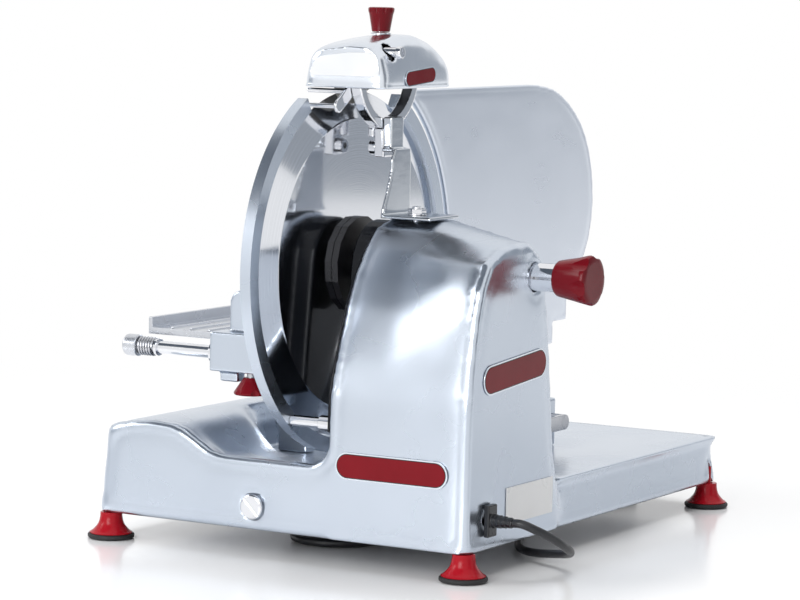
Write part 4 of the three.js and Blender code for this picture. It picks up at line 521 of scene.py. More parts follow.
# Body: one hollow aluminium casting, base, trough and motor tower together, sanded and blasted to a fine
# satin skin. It closes the drive in from the right.
cast_aluminium = new_finish("cast_aluminium", (0.57, 0.625, 0.705), 0.27, rough=(14, 3, 0.24, 0.3),
    shades=(9, 3, (0.555, 0.61, 0.69), (0.585, 0.64, 0.72)), metallic=1, grain=(1700, 2, 0.18, 0.00006))
cast_body = even_out(softened("body_casting", 0.0033, 3), 50, 0.0011, 0.0021)
finish_piece(cast_body, "cast_body", cast_aluminium, ["body_casting"], smooth=180)

# Bottom plate: folded aluminium sheet, screwed into the base from below.
sheet_aluminium = new_finish("sheet_aluminium", (0.56, 0.58, 0.62), 0.36, rough=(30, 3, 0.3, 0.44),
    shades=(16, 3, (0.54, 0.56, 0.60), (0.60, 0.62, 0.66)), metallic=1, brushed=(1, 12, 1))
dress("base_plate", sheet_aluminium)

# Feet: glossy red bell-shaped mouldings on black rubber pads, each with a stud screwed up into a boss.
red_plastic = new_finish("red_plastic", (0.36, 0.006, 0.014), 0.17, rough=(70, 3, 0.14, 0.24),
    shades=(24, 3, (0.33, 0.005, 0.012), (0.39, 0.008, 0.017)), grain=(1500, 2, 0.1, 0.00005), ior=1.28)
pad_rubber = new_finish("pad_rubber", (0.012, 0.012, 0.013), 0.6, rough=(120, 3, 0.5, 0.7),
    shades=(60, 3, (0.009, 0.009, 0.010), (0.017, 0.017, 0.018)), grain=(2200, 2, 0.3, 0.0001),
    slot="black_rubber")
pad_stations = [(0, 0.0188), (0.0006, 0.0199), (0.0014, 0.0204), (0.0032, 0.0204), (0.0039, 0.0199),
                (0.0043, 0.0188)]
bell_stations = [
    (0.0043, 0.0176), (0.0045, 0.0186), (0.0052, 0.0188), (0.0058, 0.0178), (0.0070, 0.0160),
    (0.0088, 0.0143), (0.0107, 0.0126), (0.0130, 0.0112), (0.0160, 0.0103), (0.0195, 0.0097),
    (0.0226, 0.0096), (0.0228, 0.0093), (0.0229, 0.0040), (0.0385, 0.0040),
]
for foot_name in ("foot_front_left", "foot_front_right", "foot_back_left", "foot_back_right"):
    foot_place = (*box(foot_name)[2].xy, 0)
    finish_piece(turned(foot_place, (0, 0, 1), pad_stations, 72), foot_name + "_pad", pad_rubber)
    finish_piece(turned(foot_place, (0, 0, 1), bell_stations, 96), foot_name + "_bell", red_plastic,
                 [foot_name], smooth=50)

# Drive in the tower: hollow spindle in a cast bearing carrier, two pulleys, a belt and the motor. Plain
# machined steel, cast aluminium, rubber and dark enamel, all behind the belt cover.
machined_steel = new_finish("machined_steel", (0.52, 0.53, 0.56), 0.24, rough=(60, 3, 0.18, 0.32),
    shades=(25, 3, (0.48, 0.49, 0.52), (0.56, 0.57, 0.60)), metallic=1, brushed=(8, 1, 1))
dark_enamel = new_finish("dark_enamel", (0.035, 0.037, 0.042), 0.42, rough=(50, 3, 0.34, 0.52),
    shades=(30, 3, (0.028, 0.030, 0.034), (0.045, 0.047, 0.052)))
blackened_steel = new_finish("blackened_steel", (0.014, 0.014, 0.017), 0.3, rough=(40, 3, 0.24, 0.38),
    shades=(26, 3, (0.011, 0.011, 0.014), (0.02, 0.02, 0.024)))
for drive_node, drive_finish in (
    ("spindle", blackened_steel), ("blade_pulley", machined_steel), ("motor_pulley", machined_steel),
    ("tie_rod", machined_steel), ("bearing_carrier", cast_aluminium), ("motor", dark_enamel),
    ("drive_belt", flex_rubber),
):
    dress(drive_node, drive_finish)

# Belt cover: one vacuum-formed black plastic panel with a raised case round both pulleys, screwed to the
# tower's left side.
gloss_black = new_finish("gloss_black", (0.006, 0.007, 0.009), 0.2, rough=(22, 3, 0.15, 0.27),
    shades=(12, 3, (0.005, 0.006, 0.008), (0.008, 0.009, 0.012)), grain=(900, 2, 0.1, 0.00008), ior=1.3,
    slot="black_plastic")
finish_piece(softened("belt_cover", 0.0013, 6), "belt_case", gloss_black, ["belt_cover"], smooth=180)

# Blade: a dished disc of hardened chromed steel, ground in circles and polished like a mirror, with a wide
# bevel to its edge. It sits on the spindle's flange by four pins.
blade_steel, blade_tree, _ = new_material("blade_steel", (0.74, 0.76, 0.80), 0.09, 1)
blade_place = add_node(blade_tree, "Mapping", {
    "Vector": add_node(blade_tree, "TexCoord", {}).outputs["Object"],
    "Location": (0, -blade_middle.y, -blade_middle.z)})
blade_flat = add_node(blade_tree, "VectorMath", {
    0: blade_place.outputs["Vector"], 1: (0, 1, 1)}, operation="MULTIPLY")
blade_reach = add_node(blade_tree, "VectorMath", {0: blade_flat.outputs["Vector"]}, operation="LENGTH")
blade_rings = add_node(blade_tree, "TexNoise", {
    "W": blade_reach.outputs["Value"], "Scale": 1400, "Detail": 2}, noise_dimensions="1D").outputs["Fac"]
vary_roughness(blade_tree, blade_rings, 0.06, 0.13)
vary_colour(blade_tree, blade_rings, (0.70, 0.72, 0.76), (0.78, 0.80, 0.84))
add_bump(blade_tree, blade_rings, 0.05, 0.00002)
blade_axis = at(0, 0, blade_middle.z)
blade_stations = [
    (-0.0010, 0.0200), (-0.0010, 0.1196), (-0.0045, 0.1204), (-0.0049, 0.1210), (-0.0049, 0.1499),
    (-0.0047, 0.15), (-0.0045, 0.1499), (0.0028, 0.1276), (0.0035, 0.1262), (0.0035, 0.0204),
    (0.0033, 0.0200), (-0.0010, 0.0200),
]
blade_disc = turned(blade_axis, (1, 0, 0), blade_stations, 220, bore=True)
finish_piece(blade_disc, "round_blade", blade_steel, ["blade"], "blade", 20)

# Blade cover: a spun aluminium disc that lies in the blade's dish, held by the tie rod through its hub.
cover_stations = [
    (-0.0052, 0.1140), (-0.0050, 0.1156), (-0.0044, 0.1168), (-0.0020, 0.1170), (-0.0018, 0.1168),
    (-0.0018, 0.0160), (0.0032, 0.0158), (0.0032, 0.0071), (-0.0049, 0.0071), (-0.0052, 0.0078),
    (-0.0052, 0.0300), (-0.0047, 0.0320), (-0.0047, 0.0620), (-0.0052, 0.0640), (-0.0052, 0.1140),
]
cover_disc = turned(blade_axis, (1, 0, 0), cover_stations, 160, bore=True)
spun_aluminium = new_finish("spun_aluminium", (0.62, 0.64, 0.68), 0.27, rough=(40, 3, 0.24, 0.33),
    shades=(15, 3, (0.59, 0.61, 0.65), (0.65, 0.67, 0.71)), metallic=1, slot="sheet_aluminium")
finish_piece(cover_disc, "spun_cover", spun_aluminium, ["blade_cover"], smooth=24)

# Guard ring: a cast and turned aluminium ring round the edge, open under the sharpener, with a foot on the
# base and a lug for the back one of the two posts that brace it to the tower.
ring_inner, ring_outer, ring_depth, ring_edge = 0.152, 0.1649, 0.010, 0.0011
ring_gap = math.pi * 0.158
guard = turned(blade_axis, (1, 0, 0), [
    (-ring_depth, ring_inner), (-ring_depth, ring_outer), (0, ring_outer), (0, ring_inner),
    (-ring_depth, ring_inner),
], 200, bore=True)
gap_high = ring_outer + 0.02
gap_wedge = tapered(block(blade_axis + Vector((-0.02, -gap_high * math.tan(ring_gap), 0)),
                          blade_axis + Vector((0.01, gap_high * math.tan(ring_gap), gap_high))),
                    (0, 0, -1), (1, 0.001, 1), blade_axis)
lug_radius, foot_half = 0.013, 0.018
ring_parts = [
    turned(at(0, 0.034, 0.085), (-1, 0, 0), [(0, lug_radius), (ring_depth, lug_radius)], 64),
    block(at(-ring_depth, -foot_half, 0), at(0, foot_half, blade_axis.z - ring_outer + 0.004)),
]
guard_floor = block(at(-0.03, -0.05, -0.02), at(0.02, 0.05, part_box("guard_ring")[0].z))
carved(carved(guard, gap_wedge), *ring_parts, operation="UNION")
guard_room = turned(blade_axis, (1, 0, 0), [(-0.02, ring_inner), (0.01, ring_inner)], 200)
carved(guard, guard_floor, guard_room)
round_edges(guard, ring_edge, 3, 40)
finish_piece(guard, "blade_guard", cast_aluminium, ["guard_ring"])

# Posts: two turned chrome rods with stepped ends, screwed through the ring into the tower.
post_radius, post_sleeve, post_start, post_end, post_sleeve_length = 0.0048, 0.0068, 0.0003, 0.0447, 0.016
for post_name, post_y, post_z in (("ring_post_front", -0.095, 0.118), ("ring_post_back", 0.034, 0.085)):
    post = turned(at(0, post_y, post_z), (1, 0, 0), [
        (post_start, post_radius), (post_end - post_sleeve_length, post_radius),
        (post_end - post_sleeve_length, post_sleeve - 0.0006),
        (post_end - post_sleeve_length + 0.0006, post_sleeve), (post_end, post_sleeve)], 48)
    finish_piece(post, post_name + "_rod", chrome_plate, [post_name])

# Tie rod's grip: a chromed split sleeve in the tower's right wall, and a lobed plastic knob that draws the
# blade cover tight.
sleeve_start, sleeve_end, sleeve_radius, sleeve_bore = 0.170, 0.206, 0.012, 0.0068
sleeve = turned(blade_axis, (1, 0, 0), [
    (sleeve_start, sleeve_bore), (sleeve_start, sleeve_radius), (sleeve_end - 0.0008, sleeve_radius),
    (sleeve_end, sleeve_radius - 0.0008), (sleeve_end, sleeve_bore), (sleeve_start, sleeve_bore)], 80,
    bore=True)
sleeve_slot = block(blade_axis + Vector((sleeve_start + 0.011, -0.02, -0.0012)),
                    blade_axis + Vector((sleeve_end + 0.01, -0.004, 0.0012)))
carved(sleeve, sleeve_slot)
finish_piece(sleeve, "split_sleeve", chrome_plate, ["tie_rod_sleeve"])
dark_red = new_finish("dark_red_plastic", (0.15, 0.003, 0.008), 0.2, rough=(60, 3, 0.16, 0.27),
    shades=(22, 3, (0.135, 0.0025, 0.007), (0.17, 0.004, 0.010)), grain=(1400, 2, 0.1, 0.00005), ior=1.28,
    slot="red_plastic")


def lobed_grip(place, towards, stations, flutes, flute_radius, flute_reach, softness, sides=144):
    """A turned grip with flutes milled down its side, the flutes' middles this far from its axis."""
    grip = turned(place, towards, stations, sides)
    towards = Vector(towards)
    side = towards.orthogonal().normalized()
    for flute_index in range(flutes):
        spoke = Matrix.Rotation(2 * math.pi * (flute_index + 0.5) / flutes, 3, towards) @ side
        start, end = stations[0][0] - 0.01, stations[-1][0] + 0.01
        flute = turned(Vector(place) + spoke * flute_reach + towards * start, towards,
                       [(0, flute_radius), (end - start, flute_radius)], 40)
        carved(grip, flute)
    return round_edges(grip, softness, 3, 30)


knob_start = 0.2015
tie_knob = lobed_grip(blade_axis + Vector((knob_start, 0, 0)), (1, 0, 0), [
    (0, 0.0143), (0.0010, 0.0152), (0.0030, 0.0157), (0.0190, 0.0187), (0.0280, 0.0211), (0.0305, 0.0214),
    (0.0322, 0.0207), (0.0331, 0.0190), (0.0335, 0.0150)], 6, 0.0150, 0.0335, 0.0012)
finish_piece(tie_knob, "lobed_knob", dark_red, ["tie_rod_knob"], "tie_knob")

# Sharpener's leg: a folded and polished steel sheet on the tower's top, its foot held by one nut, with a
# guide block for the yoke at its head.
polished_steel = new_finish("polished_steel", (0.60, 0.63, 0.67), 0.16, rough=(50, 3, 0.12, 0.2),
    shades=(20, 3, (0.56, 0.59, 0.63), (0.64, 0.67, 0.71)), metallic=1, grain=(260, 1, 0.08, 0.00004),
    brushed=(1, 1, 6), slot="polished_chrome")
finish_piece(softened("sharpener_leg", 0.00095, 5), "leg_sheet", polished_steel, ["sharpener_leg"],
             smooth=180)
_, bolt_high, bolt_middle = box("leg_bolt")
nut_seat, nut_radius, nut_height, nut_chamfer = bolt_high.z - 0.007, 0.0082, 0.0052, 0.0006
stud_drop, stud_radius, stud_length = 0.018, 0.004, 0.0249
washer_radius, washer_height = 0.0083, 0.0009
leg_nut = turned((*bolt_middle.xy, nut_seat), (0, 0, 1), [
    (0, nut_radius * 0.93), (nut_chamfer, nut_radius), (nut_height - nut_chamfer, nut_radius),
    (nut_height, nut_radius * 0.93)], 6)
round_edges(leg_nut, 0.00035, 2)
leg_stud = round_edges(turned((*bolt_middle.xy, nut_seat - stud_drop), (0, 0, 1), [
    (0, stud_radius), (stud_length, stud_radius)], 40), 0.0006)
leg_washer = round_edges(turned((*bolt_middle.xy, nut_seat - 0.0001), (0, 0, 1), [
    (0, washer_radius), (washer_height, washer_radius)], 64), 0.0002, 2)
finish_piece(joined(leg_nut, leg_stud, leg_washer), "leg_nut", chrome_plate, ["leg_bolt"])

# Yoke: a chromed forging that slides up and down the guide block, with a round socket-headed screw in its
# slot and two pins for the head.
finish_piece(softened("sharpener_yoke", 0.0009, 5), "yoke_forging", chrome_plate, ["sharpener_yoke"],
             "sharpener_head", 180)
yoke_low, yoke_high, yoke_middle = box("yoke_bolt")
screw_place = Vector((yoke_low.x, *yoke_middle.yz))
screw_radius, screw_head, screw_shank, screw_socket, socket_start = 0.0066, 0.007, 0.0031, 0.0032, 0.004
yoke_screw = turned(screw_place, (1, 0, 0), [
    (0, screw_radius - 0.0007), (0.0007, screw_radius), (screw_head, screw_radius), (screw_head, screw_shank),
    (yoke_high.x - yoke_low.x, screw_shank)], 56)
socket = turned(screw_place - Vector((socket_start, 0, 0)), (1, 0, 0), [
    (0, screw_socket), (socket_start + screw_head * 0.55, screw_socket)], 6)
round_edges(carved(yoke_screw, socket), 0.00025, 2)
finish_piece(yoke_screw, "yoke_screw", chrome_plate, ["yoke_bolt"], "sharpener_head")

# Sharpener's head: a cast cover, painted lighter than the body as a painted highlight for the light from
# above, with a polished pane in its front whose near-white colour is a painted highlight, over a dark steel
# frame that carries the two abrasive wheels.
head_casting = even_out(softened("head_cover", 0.0012, 5), 60, 0.0007, 0.0013)
# A lighter copy of the cast aluminium. On the head, its paler colour is a painted highlight; on the badge
# rims, it is their own pale metal.
pale_rim_and_lit_head_casting = new_finish("pale_rim_and_lit_head_casting", (0.72, 0.76, 0.82), 0.24, rough=(30, 3, 0.2, 0.28),
    shades=(14, 3, (0.70, 0.74, 0.80), (0.75, 0.79, 0.85)), metallic=1, grain=(1900, 2, 0.12, 0.00005),
    slot="cast_aluminium")
finish_piece(head_casting, "head_casting", pale_rim_and_lit_head_casting, ["head_cover"], "sharpener_head", 180)


def flat_plate(outline, across, front, back, edge, segments=3):
    """A plate across the X or Y axis, its outline given as places (along, z), with its edges rounded."""
    bpy.ops.mesh.primitive_circle_add(vertices=len(outline), radius=0.01, fill_type="NGON")
    plate = bpy.context.object
    for vertex, (along, z) in zip(plate.data.vertices, outline):
        vertex.co = (front, along, z) if across == "X" else (along, front, z)
    depth = (back - front, 0, 0) if across == "X" else (0, back - front, 0)
    edit_all(plate)
    bpy.ops.mesh.extrude_region_move(TRANSFORM_OT_translate={"value": depth})
    bpy.ops.mesh.select_all(action="SELECT")
    bpy.ops.mesh.normals_make_consistent(inside=False)
    bpy.ops.object.mode_set(mode="OBJECT")
    return round_edges(plate, edge, segments, 50)


window_outline = [
    (-0.0115, 0.4100), (-0.0095, 0.4180), (-0.0062, 0.4228), (-0.0005, 0.4256), (0.0136, 0.4280),
    (0.0273, 0.4296), (0.0460, 0.4300), (0.0520, 0.4284), (0.0546, 0.4235), (0.0562, 0.4165),
    (0.0560, 0.4110), (0.0540, 0.4094), (-0.0100, 0.4090),
]
# The pane's near-white colour is a painted highlight for the head's bright front.
pane_highlight_finish = new_finish("pane_highlight_finish", (0.93, 0.95, 0.97), 0.22, rough=(40, 3, 0.18, 0.27),
    shades=(22, 3, (0.91, 0.93, 0.96), (0.95, 0.965, 0.98)), metallic=1, slot="polished_chrome")
window_places = [at(x, 0, z) for x, z in window_outline]
window_pane = flat_plate([(p.x, p.z) for p in window_places], "Y", layout.y - 0.0576, layout.y - 0.0562,
                         0.0004)
finish_piece(window_pane, "window_pane", pane_highlight_finish, body="sharpener_head", smooth=20)
dark_steel = new_finish("dark_steel", (0.075, 0.077, 0.083), 0.34, rough=(55, 3, 0.28, 0.44),
    shades=(28, 3, (0.06, 0.062, 0.067), (0.1, 0.102, 0.108)), metallic=0.9)
frame_copy = solid_copy("head_frame")
cheek_plane = block((-0.04, -0.02, -0.0005), (0.04, 0.02, 0.0295))
cheek_plane.data.transform(Matrix.Translation(cheek_plane.location))
cheek_plane.location = at(0.0522, -0.038, 0.43)
cheek_plane.rotation_euler = (0, math.radians(45), 0)
carved(frame_copy, cheek_plane)
finish_piece(frame_copy, "stone_frame", dark_steel, ["head_frame"], "sharpener_head", 30)
abrasive = new_finish("abrasive", (0.23, 0.22, 0.21), 0.85, rough=(400, 3, 0.75, 0.95),
    shades=(1300, 4, (0.15, 0.145, 0.14), (0.34, 0.33, 0.31)), grain=(2600, 3, 0.7, 0.00018),
    slot="abrasive_grey")
for stone_node, stone_radius, stone_width, stone_body in (
    ("grinding_stone", 0.020, 0.009, "grinding_wheel"), ("honing_stone", 0.0135, 0.006, "honing_wheel"),
):
    stone_low, stone_high, stone_middle = box(stone_node)
    stone_place = (stone_low.x, *stone_middle.yz)
    stone_length = stone_high.x - stone_low.x
    wheel = turned(stone_place, (1, 0, 0), [
        (0, stone_radius - 0.0012), (0.0012, stone_radius), (stone_width - 0.0008, stone_radius),
        (stone_width, stone_radius - 0.0008)], 96)
    finish_piece(wheel, stone_node + "_wheel", abrasive, [stone_node], stone_body)
    pin = turned(stone_place, (1, 0, 0), [
        (stone_width * 0.6, 0.0034), (stone_length - 0.002, 0.0034), (stone_length - 0.002, 0.0054),
        (stone_length - 0.0004, 0.0054), (stone_length, 0.005)], 40)
    finish_piece(pin, stone_node + "_pin", machined_steel, body=stone_body)

# Head's knob and button: a tapered red grip on a chrome collar, and a chromed push button with a slot in
# its end, in a dark bush.
stem_low, stem_high, stem_middle = box("head_knob_stem")
grip_low, grip_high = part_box("head_knob")
stem_axis = Vector((*stem_middle.xy, stem_low.z))
collar_top, stem_radius = grip_low.z - stem_low.z - 0.0003, 0.004
collar_stem = turned(stem_axis, (0, 0, 1), [
    (0, stem_radius), (collar_top - 0.002, stem_radius), (collar_top - 0.002, 0.0088),
    (collar_top - 0.0017, 0.009), (collar_top - 0.0009, 0.009), (collar_top - 0.0003, 0.0084),
    (collar_top, 0.0076), (collar_top, stem_radius),
    (stem_high.z - stem_low.z, stem_radius)], 64)
finish_piece(collar_stem, "collar_stem", chrome_plate, ["head_knob_stem"], "sharpener_knob")
grip_height = grip_high.z - grip_low.z
head_grip = lobed_grip((*stem_axis.xy, grip_low.z), (0, 0, 1), [
    (0, 0.0074), (0.0007, 0.0080), (0.0030, 0.0083), (grip_height - 0.0058, 0.0104),
    (grip_height - 0.0036, 0.0112), (grip_height - 0.0014, 0.0114), (grip_height - 0.0004, 0.0108),
    (grip_height, 0.0094)], 10, 0.0022, 0.0127, 0.0005, 120)
finish_piece(head_grip, "tapered_grip", dark_red, ["head_knob"], "sharpener_knob")
button_low, button_high, button_middle = box("push_button")
button_axis = Vector((button_low.x, *button_middle.yz))
button_length = button_high.x - button_low.x
button_cap = turned(button_axis, (1, 0, 0), [
    (0, 0.0043), (button_length - 0.005, 0.0043), (button_length - 0.005, 0.0050),
    (button_length - 0.0046, 0.0053), (button_length - 0.0012, 0.0053), (button_length - 0.0003, 0.0047),
    (button_length, 0.0038)], 56)
button_slot = block(button_axis + Vector((button_length - 0.0011, -0.0006, -0.008)),
                    button_axis + Vector((button_length + 0.01, 0.0006, 0.008)))
button_slot.rotation_euler = (math.radians(35), 0, 0)
carved(button_cap, button_slot)
finish_piece(button_cap, "slotted_button", chrome_plate, ["push_button"], "stone_button")

# Stay: two bright rods riveted across a link plate on the head's front arm.
finish_piece(softened("stay_rods", 0.0006, 4), "stay_link", chrome_plate, ["stay_rods"], "sharpener_head",
             180)

# Gauge plate: a broad cast plate beside the blade that sets the slice, satin on its face, with a web cast
# on its back for two ground steel bars.
gauge_casting = even_out(softened("gauge_plate", 0.0021, 4), 40, 0.0007, 0.0013)
gauge_finish = new_finish("gauge_finish", (0.70, 0.745, 0.82), 0.3, rough=(18, 3, 0.27, 0.34),
    shades=(8, 3, (0.68, 0.725, 0.80), (0.72, 0.765, 0.84)), metallic=1, grain=(1700, 2, 0.14, 0.00005),
    brushed=(1, 1, 3), slot="cast_aluminium")
finish_piece(gauge_casting, "gauge_casting", gauge_finish, ["gauge_plate"], "gauge", 180)
bars_low, bars_high, bars_middle = box("gauge_bars")
bar_radius, bar_spacing = 0.007, 0.034
gauge_rods = [round_edges(turned((bars_low.x, bars_low.y + bar_radius + offset, bars_middle.z), (1, 0, 0), [
    (0, bar_radius), (bars_high.x - bars_low.x, bar_radius)], 56), 0.0008) for offset in (0, bar_spacing)]
end_strap = round_edges(block((bars_high.x - 0.005, bars_low.y + bar_radius, bars_low.z),
                              (bars_high.x - 0.0002, bars_high.y - bar_radius, bars_high.z)), 0.0008)
finish_piece(joined(*gauge_rods, end_strap), "gauge_rods", machined_steel, ["gauge_bars"], "gauge")
finish_piece(softened("gauge_guide", 0.0013, 5), "guide_casting", cast_aluminium, ["gauge_guide"],
             smooth=180)

# Thickness knob: a fluted grip and its dial with a raised mark for each step, on a steel shaft through the
# user's end of the base.
dial_low, dial_high, dial_middle = box("thickness_knob")
dial_face = dial_high.y - 0.028
dial_depth = dial_face - dial_low.y
dial_grip = lobed_grip((dial_middle.x, dial_face + 0.0035, dial_middle.z), (0, 1, 0), [
    (0, 0.0176), (0.0005, 0.0179), (0.021, 0.0176), (0.0232, 0.0168), (0.0242, 0.0150), (0.0245, 0.0120)],
    8, 0.0052, 0.0205, 0.0009, 120)
finish_piece(dial_grip, "dial_grip", dark_red, body="thickness_dial")
dial_disc = turned((dial_middle.x, dial_low.y, dial_middle.z), (0, 1, 0), [
    (0, 0.006), (dial_depth, 0.006), (dial_depth, 0.0203), (dial_depth + 0.0006, 0.0208),
    (dial_depth + 0.0030, 0.0206), (dial_depth + 0.0040, 0.0194)], 96)
marks, mark_ring = 24, 0.0192
mark_blocks = []
for mark_index in range(marks):
    mark_half = 0.00028 if mark_index % 2 else 0.00045
    mark = block((-mark_half, dial_face + 0.0030, mark_ring - 0.0006),
                 (mark_half, dial_face + 0.0042, mark_ring + 0.0006))
    mark.data.transform(Matrix.Translation(mark.location))
    mark.location = (dial_middle.x, 0, dial_middle.z)
    mark.rotation_euler = (0, 2 * math.pi * mark_index / marks, 0)
    only(mark)
    bpy.ops.object.transform_apply(location=True, rotation=True, scale=True)
    mark_blocks.append(mark)
finish_piece(dial_disc, "dial_disc", moulded_black, ["thickness_knob"], "thickness_dial")
dial_marks = joined(*mark_blocks)
white_paint = new_finish("white_paint", (0.78, 0.78, 0.77), 0.4, rough=(80, 3, 0.34, 0.48),
    shades=(50, 3, (0.74, 0.74, 0.73), (0.82, 0.82, 0.81)), slot="white_label")
finish_piece(dial_marks, "dial_marks", white_paint, body="thickness_dial")

# Switches: a green start and a red stop button in a black plate on the user's end of the base.
green_plastic = new_finish("green_plastic", (0.015, 0.24, 0.05), 0.25, rough=(60, 3, 0.2, 0.32),
    shades=(30, 3, (0.012, 0.21, 0.042), (0.02, 0.27, 0.06)))
switch_panel = round_edges(solid_copy("switch_plate"), 0.0006, 3)
finish_piece(switch_panel, "switch_panel", moulded_black, ["switch_plate"])
for button_node, button_body, button_finish in (
    ("start_button", "start", green_plastic), ("stop_button", "stop", red_plastic),
):
    low, high, middle = box(button_node)
    deep = high.y - low.y
    cap = turned((middle.x, low.y, middle.z), (0, 1, 0), [
        (0, 0.0048), (deep - 0.005, 0.0048), (deep - 0.005, 0.0084), (deep - 0.0046, 0.0089),
        (deep - 0.0014, 0.0089), (deep - 0.0004, 0.0083), (deep - 0.0001, 0.0072), (deep - 0.0006, 0.0060),
        (deep - 0.0009, 0.0030)], 72)
    finish_piece(cap, button_node + "_cap", button_finish, [button_node], button_body)

# Carriage's way: a hard chromed round rail on two cast brackets in the base's trough, with the cast slider
# and its arm on it.
rail_low, rail_high, rail_middle = box("guide_rail")
rail_radius = (rail_high.z - rail_low.z) / 2
rail_bar = round_edges(turned((rail_middle.x, rail_low.y, rail_middle.z), (0, 1, 0), [
    (0, rail_radius), (rail_high.y - rail_low.y, rail_radius)], 72), 0.0012)
finish_piece(rail_bar, "rail_bar", chrome_plate, ["guide_rail"])
for cast_node, cast_name, cast_body_name, grain in (
    ("rail_bracket_front", "front_bracket", "body", 0.0011),
    ("rail_bracket_back", "back_bracket", "body", 0.0011),
    ("carriage_slider", "slider_casting", "carriage", 0.0013),
    ("end_block", "end_casting", "carriage", 0.0012),
):
    finish_piece(softened(cast_node, grain, 5), cast_name, cast_aluminium, [cast_node], cast_body_name, 180)

# Table: a ribbed aluminium plate with a raised edge, screwed on the slider's arm, where the food lies.
carriage_plate = round_edges(solid_copy("carriage_table"), 0.0006, 2, 40)
finish_piece(carriage_plate, "ribbed_table", spun_aluminium, ["carriage_table"], "carriage",
             slot="cast_aluminium")

# Feed rod: a turned chrome bar from the end block with two collars, a buffer spring and a bright aluminium
# cap.
rod_low, rod_high, rod_middle = box("feed_rod")
feed_radius, collar_radius, collar_edge, flange_radius = 0.0056, 0.0076, 0.0004, 0.0103
block_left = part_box("end_block")[0].x
cap_low, cap_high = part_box("feed_rod_cap")
spring_low, spring_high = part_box("feed_spring")
spring_end = spring_high.x
feed_stations = [
    (rod_low.x, feed_radius), (spring_end + 0.0003, feed_radius),
    (spring_end + 0.0003, collar_radius - collar_edge), (spring_end + 0.0007, collar_radius),
    (spring_end + 0.0029, collar_radius), (spring_end + 0.0033, collar_radius - collar_edge),
    (spring_end + 0.0033, feed_radius), (block_left - 0.0029, feed_radius),
    (block_left - 0.0029, flange_radius - 0.0005), (block_left - 0.0024, flange_radius),
    (block_left - 0.0003, flange_radius), (block_left - 0.0003, feed_radius), (rod_high.x, feed_radius),
]
feed_bar = turned((0, *rod_middle.yz), (1, 0, 0), feed_stations, 64)
finish_piece(feed_bar, "feed_bar", chrome_plate, ["feed_rod"], "carriage")
cap_radius, cap_bore, cap_length = 0.0095, 0.0060, cap_high.x - cap_low.x
cap_turned = turned((cap_low.x, *rod_middle.yz), (1, 0, 0), [
    (0, cap_radius - 0.0022), (0.0004, cap_radius - 0.0012), (0.0014, cap_radius - 0.0003),
    (0.0026, cap_radius), (cap_length - 0.0008, cap_radius), (cap_length, cap_radius - 0.0008),
    (cap_length, cap_bore), (cap_length - 0.0078, cap_bore)], 72)
finish_piece(cap_turned, "rod_cap", spun_aluminium, ["feed_rod_cap"], "carriage", slot="machined_steel")
spring_wire, spring_turns, spring_points = 0.00115, 5.5, 14
spring_radius = (spring_high.z - spring_low.z) / 2 - spring_wire
spring_curve, spring_line = round_curve("buffer_spring", spring_wire, 3, "POLY")
spring_count = int(spring_turns * spring_points)
spring_line.points.add(spring_count)
spring_from, spring_to = spring_low.x + spring_wire, spring_high.x - spring_wire
for spring_index, spring_knot in enumerate(spring_line.points):
    spring_share = spring_index / spring_count
    spring_turn = 2 * math.pi * spring_turns * spring_share
    spring_knot.co = (spring_from + (spring_to - spring_from) * spring_share,
                      rod_middle.y + spring_radius * math.cos(spring_turn),
                      rod_middle.z + spring_radius * math.sin(spring_turn), 1)
only(new_object("buffer_spring", spring_curve))
bpy.ops.object.convert(target="MESH")
finish_piece(bpy.context.object, "buffer_spring", machined_steel, ["feed_spring"], "carriage", 60)

# Lock knob: a fluted red cone under the end block, wide end down, that clamps the carriage.
lock_low, lock_high, lock_middle = box("lock_knob")
lock_height, lock_stem_radius, lock_stem_sunk = 0.015, 0.0039, 0.004
lock_stem_start = lock_low.z + lock_height - lock_stem_sunk
lock_grip = lobed_grip((*lock_middle.xy, lock_low.z), (0, 0, 1), [
    (0, 0.0128), (0.0003, 0.0143), (0.0012, 0.0151), (0.0024, 0.0151), (0.0062, 0.0126),
    (lock_height - 0.0008, 0.0072), (lock_height, 0.0064)], 6, 0.0050, 0.0183, 0.0007, 96)
lock_stem = turned((*lock_middle.xy, lock_stem_start), (0, 0, 1), [
    (0, lock_stem_radius), (lock_high.z - lock_stem_start, lock_stem_radius)], 40)
finish_piece(lock_grip, "lock_grip", dark_red, ["lock_knob"], "carriage_lock")
finish_piece(lock_stem, "lock_stem", machined_steel, body="carriage_lock")

# Badge plates: bare red lozenges, each in a thin pale metal rim with a dark joint between, glued on the
# front, the right side and the head.
def lozenge(node, across, length, height, turn, margin, depth_from, depth_to, edge):
    """A flat plate with half-round ends in the middle of the node, between two depths from its outer face."""
    low, high, middle = box(node)
    end_radius, end_points = height / 2 - margin, 18
    straight = length / 2 - height / 2
    centre = middle.x if across == "Y" else middle.y
    outline = []
    for side in (1, -1):
        for i in range(end_points + 1):
            angle = math.pi * (i / end_points - 0.5)
            along, up = side * (straight + end_radius * math.cos(angle)), side * end_radius * math.sin(angle)
            outline.append((centre + along * math.cos(turn) - up * math.sin(turn),
                            middle.z + along * math.sin(turn) + up * math.cos(turn)))
    if across == "Y":
        return flat_plate(outline, across, low.y + depth_from, low.y + depth_to, edge)
    return flat_plate(outline, across, high.x - depth_from, high.x - depth_to, edge)


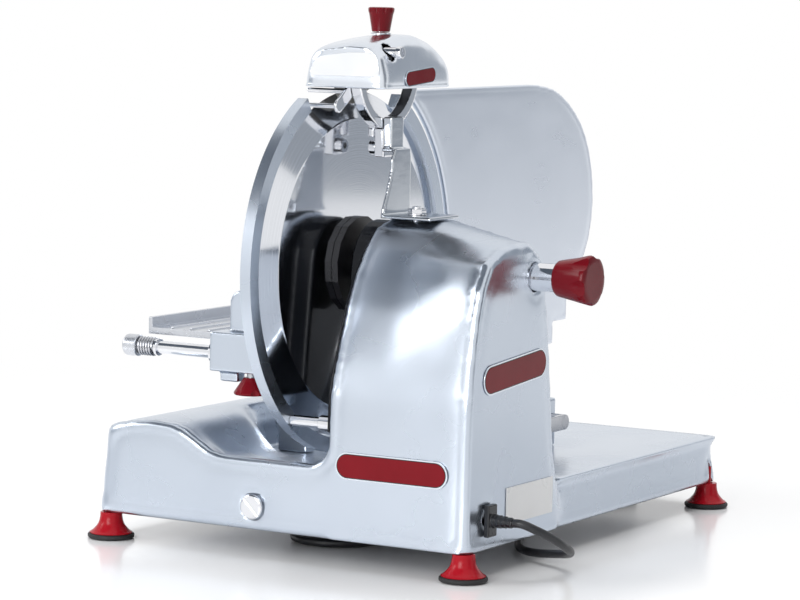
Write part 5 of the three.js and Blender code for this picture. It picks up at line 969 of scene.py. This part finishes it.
badge_enamel = new_finish("badge_enamel", (0.18, 0.0035, 0.009), 0.2, rough=(70, 3, 0.16, 0.26),
    shades=(30, 3, (0.17, 0.003, 0.008), (0.195, 0.004, 0.010)), grain=(1200, 2, 0.08, 0.00004), ior=1.28,
    slot="red_plastic")
for badge_node, badge_body, badge_across, badge_length, badge_height, badge_turn, badge_rim in (
    ("front_badge", "body", "Y", 0.107, 0.023, 0, 0.0012),
    ("side_badge", "body", "X", 0.111, 0.025, 4.4, 0.0012),
    ("head_badge", "sharpener_head", "X", 0.052, 0.0138, 4.6, 0.0008),
):
    badge_size = (badge_node, badge_across, badge_length, badge_height, math.radians(badge_turn))
    rim_plate = lozenge(*badge_size, 0, 0.0003, 0.0012, 0.0002)
    joint_plate = lozenge(*badge_size, badge_rim, 0.0002, 0.0006, 0.00005)
    face_plate = lozenge(*badge_size, badge_rim * 1.6, 0, 0.0006, 0.00025)
    finish_piece(rim_plate, badge_node + "_rim", pale_rim_and_lit_head_casting, [badge_node], badge_body, 20)
    finish_piece(joint_plate, badge_node + "_joint", moulded_black, body=badge_body, smooth=20)
    finish_piece(face_plate, badge_node + "_face", badge_enamel, body=badge_body, smooth=20)

# Rating plate: a bare white foil with rounded corners on the right side of the base.
label_foil = round_edges(solid_copy("rating_plate"), 0.00015, 2, 50)
label_white = new_finish("label_white", (0.89, 0.895, 0.90), 0.3, rough=(40, 3, 0.26, 0.36),
    shades=(25, 3, (0.87, 0.875, 0.88), (0.91, 0.915, 0.92)), slot="white_label")
finish_piece(label_foil, "rating_foil", label_white, ["rating_plate"])

# Slot plug: a turned chrome screw plug in the base's front, with a diagonal slot for a coin.
disc_low, disc_high, disc_middle = box("slot_plug")
disc_place = Vector((disc_middle.x, disc_low.y, disc_middle.z))
slot_disc = turned(disc_place, (0, 1, 0), [
    (0, 0.0088), (0.0002, 0.0096), (0.0008, 0.0105), (0.0016, 0.0110), (0.0024, 0.0110), (0.0024, 0.0089),
    (disc_high.y - disc_low.y, 0.0089)], 80)
coin_slot = block((-0.02, -0.01, -0.001), (0.02, 0.0011, 0.001))
coin_slot.location += disc_place
coin_slot.rotation_euler = (0, math.radians(45), 0)
carved(slot_disc, coin_slot)
finish_piece(round_edges(slot_disc, 0.0002, 2, 40), "slotted_plug", chrome_plate, ["slot_plug"])
